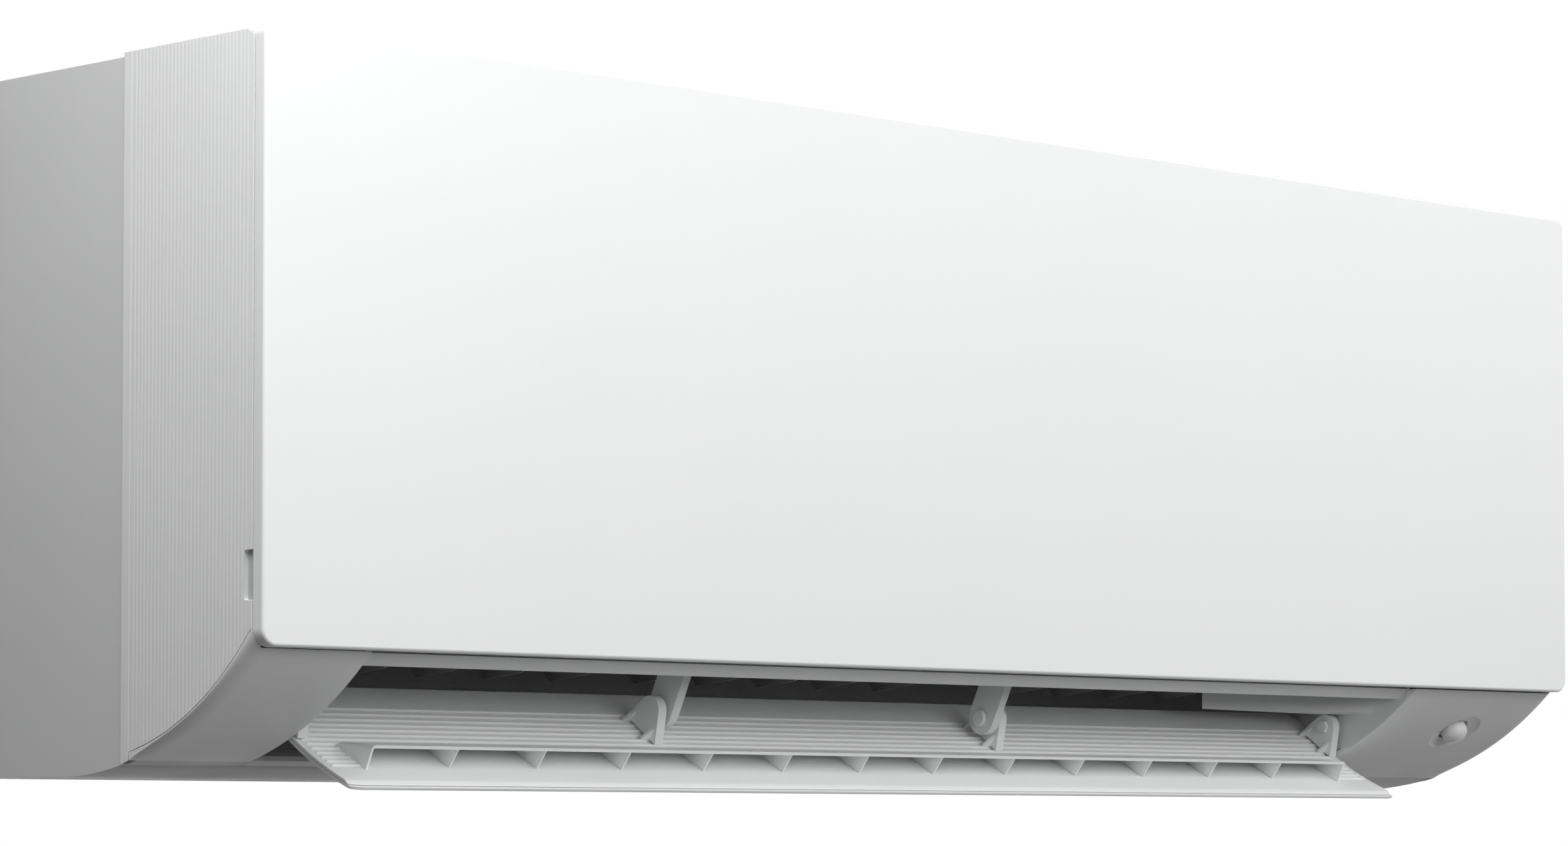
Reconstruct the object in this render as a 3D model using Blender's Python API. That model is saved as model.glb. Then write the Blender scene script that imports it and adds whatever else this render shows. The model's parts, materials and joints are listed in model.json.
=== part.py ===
"""Indoor unit of a wall-mounted split air conditioner, in metres, +Z up.

The origin is on the wall, at the centre of the mounting plate. The front faces -Y, and +X is
to the right for someone who looks at the front. Places below are measured from the left side
of the casing (x), back from the face of the front panel (d) and up from the casing's bottom (h).
"""

from math import acos, asin, atan2, ceil, cos, degrees, hypot, pi, radians, sin, sqrt

import bpy
from mathutils import Matrix, Vector

# Whole unit
WIDTH = 0.865
HEIGHT = 0.2985
DEPTH = 0.205
PLATE_CENTRE_HEIGHT = 0.150
SEAT_GAP = 0.0003
CASING_WALL = 0.0026

# Front panel
PANEL_BOTTOM = 0.0505
PANEL_THICKNESS = 0.0066
PANEL_SKIN = 0.0024
PANEL_RIM = 0.0025
PANEL_EDGE_RADIUS = 0.0014
PANEL_TOP_RADIUS = 0.005
PANEL_LOW_RADIUS = 0.007
PANEL_GAP = 0.0018
HINGE_DEPTH = 0.011
HINGE_DROP = 0.0065
HINGE_PIN_RADIUS = 0.0019
HINGE_LUG_WIDTH = 0.003
HINGE_BOSS_LENGTH = 0.0054
HINGE_BOSS_WALL = 0.0018
PANEL_OPEN_ANGLE = radians(60)
PANEL_SWING_CLEARANCE = 0.0004

# Ribbed side covers
COVER_DROP = 0.0016
GROOVE_COUNT = 33
GROOVE_PITCH = 0.00237
GROOVE_WIDTH = 0.0010
GROOVE_DEPTH = 0.0005
FIRST_GROOVE = 0.0019
BEAD_WIDTH = 0.0061
BEAD_REACH = 0.0009
NOTCH_LENGTH = 0.0038
NOTCH_LOW = 0.069
NOTCH_HIGH = 0.089
NOTCH_RADIUS = 0.0012

# Lower surround, with its two end caps and the lip over the outlet
PROFILE_RADIUS = 0.190
PROFILE_BACK = 0.136
SEAM_RADIUS = 0.148
SEAM_FRONT_HEIGHT = 0.0580
SEAM_BACK_HEIGHT = 0.0097
SURROUND_STEP = 0.0011
ROLL_WIDTH = 0.009
ROLL_START = 0.25
LEFT_CAP = 0.062
RIGHT_CAP = 0.1175
LIP_RECESS = 0.0035
LIP_BOTTOM = 0.045
LIP_TOP = 0.0508

# Presence sensor on the right cap
SENSOR_INSET = 0.0495
SENSOR_DEPTH = 0.035
SENSOR_RADIUS = 0.0068
SENSOR_PROUD = 0.0045
SENSOR_FLANGE = 0.0092
SENSOR_FLANGE_THICKNESS = 0.0015
DISH_RADIUS = 0.015
DISH_DEPTH = 0.0018

# Rear chassis, with the scroll behind the fan
SIDE_STEP = 0.0015
CHASSIS_DROP = 0.0015
CHASSIS_WALL = 0.0026
CHASSIS_CORNER = 0.004
SCROLL_WALL = 0.0024
SCROLL_TOP = 0.150
SCROLL_CLEARANCE = 0.007
SCROLL_GROWTH = 1.8
OUTLET_BACK = 0.085
OUTLET_BACK_LIP = 0.0020
PARTITION_WALL = 0.0025
PARTITION_SET_BACK = 0.0035
PARTITION_FRONT = 0.022
PARTITION_DROP = 0.0125
PIPE_HOLE_LEFT = 0.014
PIPE_HOLE_WIDTH = 0.034
PIPE_HOLE_LOW = 0.014
PIPE_HOLE_HEIGHT = 0.052

# Mounting plate
PLATE_WIDTH = 0.600
PLATE_HEIGHT = 0.210
PLATE_THICKNESS = 0.0015
PLATE_CORNER = 0.012
PLATE_SCREW_RADIUS = 0.0028
PLATE_WINDOW_WIDTH = 0.080
PLATE_WINDOW_HEIGHT = 0.060
HOOK_WIDTH = 0.012
HOOK_HEIGHT = 0.010
HOOK_REACH = 0.006
HOOK_SPACING = 0.420
HOOK_RISE = 0.096

# Top grille
GRILLE_FRONT = 0.020
GRILLE_THICKNESS = 0.0026
GRILLE_ROWS = 13
GRILLE_BAYS = 4
GRILLE_SLOT = 0.0065
GRILLE_RIB = 0.010
GRILLE_BORDER = 0.012

# Front frame and the air filters behind it
FRAME_FRONT = 0.009
FRAME_THICKNESS = 0.0022
FRAME_BOTTOM = 0.0605
FRAME_DROP = 0.0135
WINDOW_LOW = 0.072
WINDOW_BORDER = 0.007
FILTER_DEPTH = 0.0155
FILTER_THICKNESS = 0.0022
FILTER_RIGHT_INSET = 0.1214
FILTER_LEFT = 0.036
FILTER_BORDER = 0.006
FILTER_RIB = 0.0025
FILTER_COLUMNS = 5
FILTER_ROWS = 3
FILTER_LEDGE = 0.0635
RAIL_WIDTH = 0.003
RAIL_DEPTH = 0.0082
RAIL_LIP = 0.0020
RAIL_LIP_THICKNESS = 0.0014
FILTER_LIFT = 0.225

# Heat exchanger
SLAB_THICKNESS = 0.027
SLAB_RIGHT_INSET = 0.143
SLAB_LEFT = 0.082
FRONT_SLAB_DEPTH = 0.038
FRONT_SLAB_LOW = 0.0733
FRONT_SLAB_DROP = 0.1025
TOP_SLAB_DEPTHS = (0.050, 0.104)
TOP_SLAB_DROPS = (0.0845, 0.0305)
REAR_SLAB_DROP = 0.0325
REAR_SLAB_LOW = 0.1567
REAR_SLAB_INSET = 0.0186
REAR_SLAB_GAP = 0.024
FIN_COUNT = 60
FIN_THICKNESS = 0.0008
CORE_THICKNESS = 0.005
END_SHEET = 0.0014
BEND_RADIUS = 0.0105
BEND_TUBE = 0.0035
BENDS_PER_SLAB = 2

# Cross-flow fan
FAN_CENTRE = (0.118, 0.125)
FAN_RADIUS = 0.047
FAN_INNER_RADIUS = 0.036
FAN_LEFT = 0.066
FAN_RIGHT_INSET = 0.129
FAN_BLADES = 24
FAN_BLADE_THICKNESS = 0.0013
FAN_DISC = 0.0030
FAN_DISCS = 4
AXLE_RADIUS = 0.004
AXLE_CLEARANCE = 0.0001
BEARING_RADIUS = 0.011
BEARING_LENGTH = 0.009
MOTOR_RADIUS = 0.042
MOTOR_LENGTH = 0.050
MOTOR_BOSS_RADIUS = 0.016
MOTOR_BOSS_LENGTH = 0.007

# Outlet duct and drain pan
DUCT_WALL = 0.0025
DUCT_FRONT = 0.0184
DUCT_SHEET = 0.0024
DUCT_FLOOR_FRONT = 0.0475
DUCT_STEP_BACK = 0.0018
DUCT_STEP_HEIGHT = 0.0560
PAN_TOP = 0.095
TONGUE_DEPTH = 0.0765
TONGUE_BASE = 0.084
CEILING_SLOPE = 0.32
CEILING_BACK_HEIGHT = 0.0770
CEILING_BACK_DEPTH = 0.072
DUCT_END_DEPTH = 0.084

# Vertical vanes and their link bars
VANE_COUNTS = (4, 5, 6)
VANE_STARTS = (0.0535, 0.017, 0.038)
VANE_END_ROOM = 0.051
VANE_THICKNESS = 0.0014
VANE_PIVOT_DEPTH = 0.070
VANE_PIN_RADIUS = 0.0016
VANE_PIN_CLEARANCE = 0.0003
VANE_PIN_LENGTH = 0.008
VANE_FRONT = 0.062
VANE_BACK = 0.092
VANE_BOTTOM = 0.044
VANE_TOP = 0.0735
VANE_CORNER = 0.004
VANE_SWING = radians(30)
LINK_DEPTH = 0.084
LINK_LOW = 0.0742
LINK_THICKNESS = 0.0020
LINK_FRONT = 0.0786
LINK_BACK = 0.0875
LINK_END = 0.006
LINK_PIN_RADIUS = 0.0011
LINK_SIDE_PLAY = 0.0007
LINK_END_PLAY = 0.0004

# Flap, drawn shut in the lower profile and set to its open angle
FLAP_PIVOT = (0.0605, 0.0315)
FLAP_OPEN_ANGLE = radians(61.8)
FLAP_LOWER_ANGLE = radians(8)
FLAP_FRONT_DEPTH = 0.0092
FLAP_BACK_DEPTH = 0.0786
FLAP_END_GAP = 0.001
FLAP_SKIN = 0.0012
FLAP_LINER = 0.0011
FLAP_NOSE = 0.0040
FLAP_BACK_CORNER = 0.008
FLAP_FRONT_CORNER = 0.002
FLAP_RIB_COUNT = 13
FLAP_RIB_PITCH = 0.0044
FLAP_RIB_HEIGHT = 0.0008
FLAP_RIB_WIDTH = 0.0012
FLAP_RIB_MARGIN = 0.0062
WING_LEFT = 0.082
WING_RIGHT_INSET = 0.028
WING_ROOT = 0.0415
WING_REACH = 0.0225
WING_RISE = 0.0090
WING_THICKNESS = 0.0014
GUSSET_COUNT = 13
GUSSET_MARGIN = 0.0482
GUSSET_THICKNESS = 0.0013
BRACKET_THICKNESS = 0.0048
BRACKET_APEX = 0.0063
BRACKET_BACK_FOOT = 0.0152
BRACKET_FRONT_FOOT = 0.0385
BRACKET_RIB = 0.0056
BRACKET_RIB_THICKNESS = 0.0014
BRACKET_END_GAP = 0.0015
INNER_BRACKET_SHARES = (0.2961, 0.62)
LAST_BRACKET_ROOM = 0.0037
HANGER_GAPS = (0.0015, 0.0017)
HANGER_THICKNESS = 0.0048
HANGER_RADIUS = 0.008
HANGER_LEAN = radians(25)
PIN_RADIUS = 0.0025
PIN_CLEARANCE = 0.0001
PIN_HEAD_RADIUS = 0.004
PIN_HEAD = 0.0020
PIN_CAP = 0.0016
FLAP_MOTOR_RADIUS = 0.0118
FLAP_MOTOR_LENGTH = 0.018
VANE_MOTOR_RADIUS = 0.010
VANE_MOTOR_LENGTH = 0.014

# Electrical side
BOX_WALL = 0.0020
BOX_WIDTH = 0.098
BOX_FRONT = 0.0240
BOX_BACK = 0.0660
BOX_LOW = 0.064
BOX_DROP = 0.0205
BOARD_THICKNESS = 0.0016
BOARD_STAND_OFF = 0.0040
CONTROL_BLOCKS = (
    (0.012, 0.030, 0.022, 0.030, 0.016),
    (0.050, 0.040, 0.018, 0.018, 0.012),
    (0.052, 0.080, 0.026, 0.020, 0.010),
    (0.014, 0.105, 0.028, 0.034, 0.020),
)
CONTROL_CANS = ((0.030, 0.078), (0.074, 0.030))
CONTROL_CAN_RADIUS = 0.0065
CONTROL_CAN_LENGTH = 0.022
TERMINAL_HEIGHT = 0.018
TERMINAL_WIDTH = 0.062
TERMINAL_DEPTH = 0.014
TERMINAL_WAYS = 4
RECEIVER_WIDTH = 0.060
RECEIVER_HEIGHT = 0.022
RECEIVER_LEVEL = 0.110
RECEIVER_RIGHT_INSET = 0.030
BUTTON_INSET = 0.065
BUTTON_HEIGHT = 0.078
BUTTON_RADIUS = 0.0030
BUTTON_PROUD = 0.0018
BUTTON_FLANGE = 0.0044
BUTTON_FLANGE_THICKNESS = 0.0010
BUTTON_CLEARANCE = 0.0004
BUTTON_TRAVEL = 0.0015

# Fineness of the round shapes
ROUND_SIDES = 24
SMALL_ROUND_SIDES = 12
CORNER_STEPS = 3
PROFILE_STEPS = 18
ROLL_STEPS = 4
CUT_REACH = 0.004

# Places that follow from the sizes above
PROFILE_CENTRE = (PROFILE_BACK, PROFILE_RADIUS)
SIDE_FRONT = PANEL_THICKNESS + PANEL_GAP
COVER_TOP = HEIGHT - COVER_DROP
BEAD_FRONT = SIDE_FRONT + FIRST_GROOVE + GROOVE_COUNT * GROOVE_PITCH - GROOVE_PITCH / 2
BEAD_BACK = BEAD_FRONT + BEAD_WIDTH
SURROUND_FRONT = SIDE_FRONT - SURROUND_STEP
CHASSIS_BACK = DEPTH - PLATE_THICKNESS - SEAT_GAP
CHASSIS_TOP = COVER_TOP - CHASSIS_DROP
OUTLET_RIGHT = WIDTH - RIGHT_CAP
SENSOR_X = WIDTH - SENSOR_INSET
PARTITION_TOP = HEIGHT - PARTITION_DROP
HOOK_LEVEL = PLATE_CENTRE_HEIGHT + HOOK_RISE
FRAME_TOP = HEIGHT - FRAME_DROP
WINDOW_HIGH = FRAME_TOP - WINDOW_BORDER
FILTER_WIDTH = (WIDTH - FILTER_RIGHT_INSET - FILTER_LEFT - RAIL_WIDTH - 2 * SEAT_GAP) / 2
SLAB_LENGTH = WIDTH - SLAB_RIGHT_INSET - SLAB_LEFT
FRONT_SLAB = ((FRONT_SLAB_DEPTH, FRONT_SLAB_LOW), (FRONT_SLAB_DEPTH, HEIGHT - FRONT_SLAB_DROP))
TOP_SLAB = tuple((d, HEIGHT - drop) for d, drop in zip(TOP_SLAB_DEPTHS, TOP_SLAB_DROPS))
REAR_SLAB = (
    (TOP_SLAB_DEPTHS[1] + REAR_SLAB_GAP, HEIGHT - REAR_SLAB_DROP),
    (DEPTH - REAR_SLAB_INSET, REAR_SLAB_LOW),
)
FAN_LENGTH = WIDTH - FAN_RIGHT_INSET - FAN_LEFT
BRACKET_LEFTS = (
    LEFT_CAP + BRACKET_END_GAP,
    LEFT_CAP + (OUTLET_RIGHT - LEFT_CAP) * INNER_BRACKET_SHARES[0],
    LEFT_CAP + (OUTLET_RIGHT - LEFT_CAP) * INNER_BRACKET_SHARES[1],
    OUTLET_RIGHT - LAST_BRACKET_ROOM - BRACKET_THICKNESS,
)
HANGER_LEFTS = (
    BRACKET_LEFTS[1] + BRACKET_THICKNESS + HANGER_GAPS[0],
    BRACKET_LEFTS[2] - HANGER_THICKNESS - HANGER_GAPS[1],
)
VANE_ROOM = BRACKET_LEFTS[2] - BRACKET_LEFTS[1] - VANE_STARTS[1] - VANE_END_ROOM
VANE_PITCH = VANE_ROOM / (VANE_COUNTS[1] - 1)
VANE_SECTIONS = (
    (LEFT_CAP + VANE_STARTS[0], VANE_COUNTS[0]),
    (BRACKET_LEFTS[1] + VANE_STARTS[1], VANE_COUNTS[1]),
    (BRACKET_LEFTS[2] + VANE_STARTS[2], VANE_COUNTS[2]),
)
WING_RIGHT = OUTLET_RIGHT - WING_RIGHT_INSET
GUSSET_PITCH = (WING_RIGHT - WING_LEFT - GUSSET_MARGIN - GUSSET_THICKNESS) / (GUSSET_COUNT - 1)
BOX_HIGH = HEIGHT - BOX_DROP
RECEIVER_LEFT = WIDTH - RECEIVER_RIGHT_INSET - RECEIVER_WIDTH
BUTTON_X = WIDTH - BUTTON_INSET
FLAP_LEFT = LEFT_CAP + FLAP_END_GAP
FLAP_RIGHT = OUTLET_RIGHT - FLAP_END_GAP
HINGE_POINT = (HINGE_DEPTH, HEIGHT - HINGE_DROP)
PARTITION_LEFTS = (
    LEFT_CAP - PARTITION_SET_BACK - PARTITION_WALL,
    OUTLET_RIGHT + PARTITION_SET_BACK,
)


def clear_scene():
    for old in list(bpy.data.objects):
        bpy.data.objects.remove(old, do_unlink=True)


def world(x, d, h):
    return Vector((x - WIDTH / 2, d - DEPTH, h - PLATE_CENTRE_HEIGHT))


def arc(centre, radius, start, end, steps):
    """Points of an arc, with its angles counted from the first axis towards the second."""
    turns = [start + (end - start) * i / steps for i in range(steps + 1)]
    return [(centre[0] + radius * cos(t), centre[1] + radius * sin(t)) for t in turns]


def circle(centre, radius, sides=ROUND_SIDES):
    return arc(centre, radius, 0, 2 * pi, sides)[:-1]


def profile_height(d, radius=PROFILE_RADIUS):
    """Height of the lower profile, or of a line along it, at a depth."""
    return PROFILE_CENTRE[1] - sqrt(radius**2 - (PROFILE_CENTRE[0] - d) ** 2)


def profile_depth(h, radius=PROFILE_RADIUS):
    return PROFILE_CENTRE[0] - sqrt(radius**2 - (PROFILE_CENTRE[1] - h) ** 2)


def profile_arc(radius, start_depth, end_depth, steps=PROFILE_STEPS):
    start = asin((PROFILE_CENTRE[0] - start_depth) / radius)
    end = asin((PROFILE_CENTRE[0] - end_depth) / radius)
    return arc(PROFILE_CENTRE, radius, -pi / 2 - start, -pi / 2 - end, steps)


def seam_centre():
    """Centre of the seam's arc, from its two ends and its radius."""
    first = Vector((SURROUND_FRONT, SEAM_FRONT_HEIGHT))
    last = Vector((BEAD_FRONT, SEAM_BACK_HEIGHT))
    chord = last - first
    away = Vector((-chord.y, chord.x)).normalized()
    rise = sqrt(SEAM_RADIUS**2 - (chord.length / 2) ** 2)
    return tuple((first + last) / 2 + away * rise)


def seam_height(d, offset=0.0):
    centre = seam_centre()
    return centre[1] - sqrt((SEAM_RADIUS - offset) ** 2 - (centre[0] - d) ** 2)


def seam_arc(start_depth, end_depth, offset=0.0, steps=PROFILE_STEPS):
    """The seam moved inwards by the offset, from one depth to another."""
    centre, radius = seam_centre(), SEAM_RADIUS - offset
    start = asin((centre[0] - start_depth) / radius)
    end = asin((centre[0] - end_depth) / radius)
    return arc(centre, radius, -pi / 2 - start, -pi / 2 - end, steps)


def loft(rings):
    """A closed solid through rings of equally many points, filled at its two ends."""
    count = len(rings[0])
    points = [Vector(point) for ring in rings for point in ring]
    faces = [list(range(count)), list(range(len(points) - 1, len(points) - count - 1, -1))]
    for start in range(0, len(points) - count, count):
        for i in range(count):
            j = (i + 1) % count
            faces.append([start + j, start + i, start + count + i, start + count + j])
    volume = 0.0
    for face in faces:
        for i in range(1, len(face) - 1):
            first, second, third = (points[face[k]] for k in (0, i, i + 1))
            volume += first.dot(second.cross(third))
    if volume < 0:
        faces = [face[::-1] for face in faces]
    return points, faces


def across(outline, left, right):
    """An outline of (d, h) points drawn out along x."""
    return loft([[world(x, d, h) for d, h in outline] for x in (left, right)])


def upright(outline, low, high):
    """An outline of (x, d) points drawn out along the height."""
    return loft([[world(x, d, h) for x, d in outline] for h in (low, high)])


def facing(outline, front, back):
    """An outline of (x, h) points drawn out along the depth."""
    return loft([[world(x, d, h) for x, h in outline] for d in (front, back)])


def rectangle(low_a, low_b, high_a, high_b):
    return [(low_a, low_b), (high_a, low_b), (high_a, high_b), (low_a, high_b)]


def rounded(outline, radii, steps=CORNER_STEPS):
    """An outline with each corner turned into an arc of its own radius."""
    result = []
    for i, radius in enumerate(radii):
        corner = Vector(outline[i])
        before = (Vector(outline[i - 1]) - corner).normalized()
        after = (Vector(outline[(i + 1) % len(outline)]) - corner).normalized()
        if radius <= 0:
            result.append(tuple(corner))
            continue
        half = acos(max(-1.0, min(1.0, before.dot(after)))) / 2
        centre = corner + (before + after).normalized() * (radius / sin(half))
        start = corner + before * (radius / (sin(half) / cos(half)))
        sweep = pi - 2 * half
        side = before.x * after.y - before.y * after.x
        turn = -sweep if side > 0 else sweep
        for k in range(steps + 1):
            spin = Matrix.Rotation(-turn * k / steps, 2)
            result.append(tuple(centre + (start - centre) @ spin))
    return result


def around_x(points_rings, centre):
    """Rings of (x, radius) turned about an axis along x."""
    rings = []
    for x, radius in points_rings:
        rings.append([world(x, d, h) for d, h in circle(centre, radius)])
    return loft(rings)


def paint(name, colour, roughness, metallic=0.0):
    """A plain finish, made once and shared by its name."""
    finish = bpy.data.materials.get(name) or bpy.data.materials.new(name)
    finish.use_nodes = True
    shader = finish.node_tree.nodes["Principled BSDF"]
    shader.inputs["Base Color"].default_value = (*colour, 1.0)
    shader.inputs["Roughness"].default_value = roughness
    shader.inputs["Metallic"].default_value = metallic
    return finish


def make(name, solids, finish, pivot=None):
    """One named object from closed solids, with its origin on its joint's axis."""
    origin = pivot or Vector((0, 0, 0))
    points, faces = [], []
    for solid_points, solid_faces in solids:
        faces += [[len(points) + i for i in face] for face in solid_faces]
        points += [point - origin for point in solid_points]
    mesh = bpy.data.meshes.new(name)
    mesh.from_pydata(points, [], faces)
    mesh.shade_smooth()
    mesh.set_sharp_from_angle(angle=radians(30))
    piece = bpy.data.objects.new(name, mesh)
    piece.location = origin
    bpy.context.scene.collection.objects.link(piece)
    colour, roughness, metallic = finish
    mesh.materials.append(paint(name + "_finish", colour, roughness, metallic))
    return piece


def helper(name, solids):
    """A shape that only cuts or joins."""
    tool = make(name, solids, HELPER)
    tool.hide_render = True
    tool.display_type = "WIRE"
    return tool


def combine(piece, solids, operation):
    """Cuts the solids from the piece or joins them to it."""
    modifier = piece.modifiers.new(operation.lower(), "BOOLEAN")
    modifier.operation = operation
    modifier.solver = "EXACT"
    modifier.object = helper(f"{piece.name}_{operation.lower()}_{len(piece.modifiers)}", solids)


def cut(piece, solids):
    combine(piece, solids, "DIFFERENCE")


def join(piece, solids):
    for solid in solids:
        combine(piece, [solid], "UNION")


WHITE = ((0.86, 0.87, 0.87), 0.34, 0.0)
OFF_WHITE = ((0.80, 0.81, 0.81), 0.42, 0.0)
GREY = ((0.30, 0.31, 0.32), 0.55, 0.0)
DARK = ((0.06, 0.06, 0.065), 0.5, 0.0)
STEEL = ((0.62, 0.63, 0.64), 0.35, 1.0)
ALUMINIUM = ((0.78, 0.79, 0.80), 0.4, 1.0)
COPPER = ((0.72, 0.38, 0.22), 0.35, 1.0)
BOARD_GREEN = ((0.05, 0.22, 0.10), 0.5, 0.0)
RUBBER = ((0.04, 0.04, 0.04), 0.8, 0.0)
DOME = ((0.90, 0.90, 0.90), 0.25, 0.0)
HELPER = ((0.5, 0.5, 0.5), 0.5, 0.0)


# Front panel

def panel_ring(inset, d):
    """The panel's outline at a depth, drawn in by an inset."""
    corners = rectangle(inset, PANEL_BOTTOM + inset, WIDTH - inset, HEIGHT - inset)
    low, high = PANEL_LOW_RADIUS - inset, PANEL_TOP_RADIUS - inset
    return [world(x, d, h) for x, h in rounded(corners, (low, low, high, high))]


def front_panel():
    rings = []
    for i in range(CORNER_STEPS + 1):
        turn = pi / 2 * i / CORNER_STEPS
        inset = PANEL_EDGE_RADIUS * (1 - sin(turn))
        rings.append(panel_ring(inset, PANEL_EDGE_RADIUS * (1 - cos(turn))))
    rings.append(panel_ring(0, PANEL_THICKNESS))
    piece = make("front_panel", [loft(rings)], WHITE, world(WIDTH / 2, *HINGE_POINT))
    pocket = [panel_ring(PANEL_RIM, d) for d in (PANEL_SKIN, PANEL_THICKNESS + CUT_REACH)]
    cut(piece, [loft(pocket)])
    eye = HINGE_PIN_RADIUS + HINGE_BOSS_WALL
    foot = PANEL_SKIN - PANEL_SKIN / 4
    root = HINGE_DEPTH - HINGE_PIN_RADIUS
    d, h = HINGE_POINT
    lug = [(foot, h - eye), (root, h - eye)]
    lug += arc(HINGE_POINT, eye, -pi / 2, pi / 2, 6) + [(foot, h + eye - PANEL_SKIN / 2)]
    inner = CASING_WALL + HINGE_BOSS_LENGTH + SEAT_GAP
    for left, pin_end in (
        (inner, CASING_WALL + SEAT_GAP),
        (WIDTH - inner - HINGE_LUG_WIDTH, WIDTH - CASING_WALL - SEAT_GAP),
    ):
        join(piece, [across(lug, left, left + HINGE_LUG_WIDTH)])
        middle = left + HINGE_LUG_WIDTH / 2
        pin = circle(HINGE_POINT, HINGE_PIN_RADIUS, SMALL_ROUND_SIDES)
        join(piece, [across(pin, middle, pin_end)])
    return piece


# Ribbed side covers

def ribbed_line():
    """The cover's outer face from its front edge to the bead, as (x, d) points."""
    points = [(GROOVE_DEPTH, SIDE_FRONT), (0.0, SIDE_FRONT + GROOVE_DEPTH)]
    for i in range(GROOVE_COUNT):
        middle = SIDE_FRONT + FIRST_GROOVE + i * GROOVE_PITCH
        points.append((0.0, middle - GROOVE_WIDTH / 2))
        points.append((GROOVE_DEPTH, middle))
        points.append((0.0, middle + GROOVE_WIDTH / 2))
    return points


def bead_line():
    """The plain round bead, which turns in to the chassis behind it."""
    half = BEAD_WIDTH / 2
    points = [(GROOVE_DEPTH, BEAD_FRONT)]
    for i in range(5):
        turn = pi * i / 8
        points.append((BEAD_REACH * (1 - sin(turn)) * 0.5, BEAD_FRONT + half * (1 - cos(turn))))
    for i in range(1, 5):
        turn = pi / 2 * i / 4
        points.append((SIDE_STEP * (1 - cos(turn)), BEAD_FRONT + half * (1 + sin(turn))))
    return points


def swing_relief():
    """What the cover's upper front corner gives up, so that the panel's rim clears it."""
    out = Vector((-cos(PANEL_OPEN_ANGLE), sin(PANEL_OPEN_ANGLE)))
    along = Vector((sin(PANEL_OPEN_ANGLE), cos(PANEL_OPEN_ANGLE))) * 3 * CUT_REACH
    touch = Vector(HINGE_POINT) + out * (HINGE_DEPTH - PANEL_THICKNESS - PANEL_SWING_CLEARANCE)
    start, end = touch - along, touch + along
    top = HEIGHT + 3 * CUT_REACH
    return [tuple(start), tuple(end), (end.x, top), (start.x, top)]


def side_cover(name, on_right):
    outer = ribbed_line() + bead_line()
    outline = outer + [(CASING_WALL, BEAD_BACK), (CASING_WALL, SIDE_FRONT)]
    turn = (lambda x: WIDTH - x) if on_right else (lambda x: x)
    outline = [(turn(x), d) for x, d in outline]
    piece = make(name, [upright(outline, 0.0, COVER_TOP)], WHITE)
    below = seam_arc(SIDE_FRONT - CUT_REACH, BEAD_FRONT, SEAT_GAP)
    below += profile_arc(PROFILE_RADIUS, BEAD_FRONT, BEAD_BACK + CUT_REACH, 3)
    below += [(BEAD_BACK + CUT_REACH, -CUT_REACH), (SIDE_FRONT - CUT_REACH, -CUT_REACH)]
    sides = sorted((turn(-CUT_REACH), turn(CASING_WALL + CUT_REACH)))
    cut(piece, [across(below, *sides)])
    notch = rectangle(SIDE_FRONT - CUT_REACH, NOTCH_LOW, SIDE_FRONT + NOTCH_LENGTH, NOTCH_HIGH)
    notch = rounded(notch, (0, NOTCH_RADIUS, NOTCH_RADIUS, 0))
    cut(piece, [across(notch, *sides)])
    cut(piece, [across(swing_relief(), *sides)])
    eye = HINGE_PIN_RADIUS + SEAT_GAP
    boss = circle(HINGE_POINT, eye + HINGE_BOSS_WALL, SMALL_ROUND_SIDES)
    bore = circle(HINGE_POINT, eye, SMALL_ROUND_SIDES)
    boss_end = CASING_WALL + HINGE_BOSS_LENGTH
    join(piece, [across(boss, *sorted((turn(CASING_WALL / 2), turn(boss_end))))])
    cut(piece, [across(bore, *sorted((turn(CASING_WALL), turn(boss_end + CUT_REACH))))])
    return piece


# Lower surround

def surround_section(share):
    """The lower surround's section, from the seam (share 0) to the lower profile (share 1)."""
    top = PANEL_BOTTOM - SEAT_GAP
    back = BEAD_FRONT - SEAT_GAP
    outer = profile_arc(PROFILE_RADIUS, profile_depth(top), back)
    inner = seam_arc(SURROUND_FRONT, back)
    edge = []
    for (outer_d, outer_h), (inner_d, inner_h) in zip(outer, inner):
        edge.append(
            (inner_d + (outer_d - inner_d) * share, inner_h + (outer_h - inner_h) * share)
        )
    return edge + inner[::-1]


def outlet_surround():
    stations = []
    for i in range(ROLL_STEPS + 1):
        turn = pi / 2 * i / ROLL_STEPS
        share = ROLL_START + (1 - ROLL_START) * sin(turn)
        stations.append((ROLL_WIDTH * (1 - cos(turn)), share))
    stations += [(WIDTH - x, share) for x, share in reversed(stations)]
    rings = [[world(x, d, h) for d, h in surround_section(share)] for x, share in stations]
    piece = make("outlet_surround", [loft(rings)], WHITE)
    lip = PROFILE_RADIUS - LIP_RECESS
    opening = [(SURROUND_FRONT - CUT_REACH, LIP_TOP)]
    opening += profile_arc(lip, profile_depth(LIP_TOP, lip), profile_depth(LIP_BOTTOM, lip), 4)
    opening += [(SURROUND_FRONT + 5 * CUT_REACH, LIP_BOTTOM + CUT_REACH)]
    opening += [(BEAD_BACK, PROFILE_BACK / 4), (BEAD_BACK, -CUT_REACH)]
    opening += [(SURROUND_FRONT - CUT_REACH, -CUT_REACH)]
    cut(piece, [across(opening, LEFT_CAP, OUTLET_RIGHT)])
    cut(piece, [sensor_turned([(DISH_RADIUS * sin(t), -DISH_DEPTH * cos(t)) for t in (
        0.02, pi / 8, pi / 4, 3 * pi / 8, pi / 2)] + [(DISH_RADIUS, CUT_REACH)])])
    hole = SENSOR_RADIUS + SEAT_GAP
    cut(piece, [sensor_turned([(hole, -3 * CUT_REACH), (hole, CUT_REACH)])])
    return piece


# Presence sensor

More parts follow.
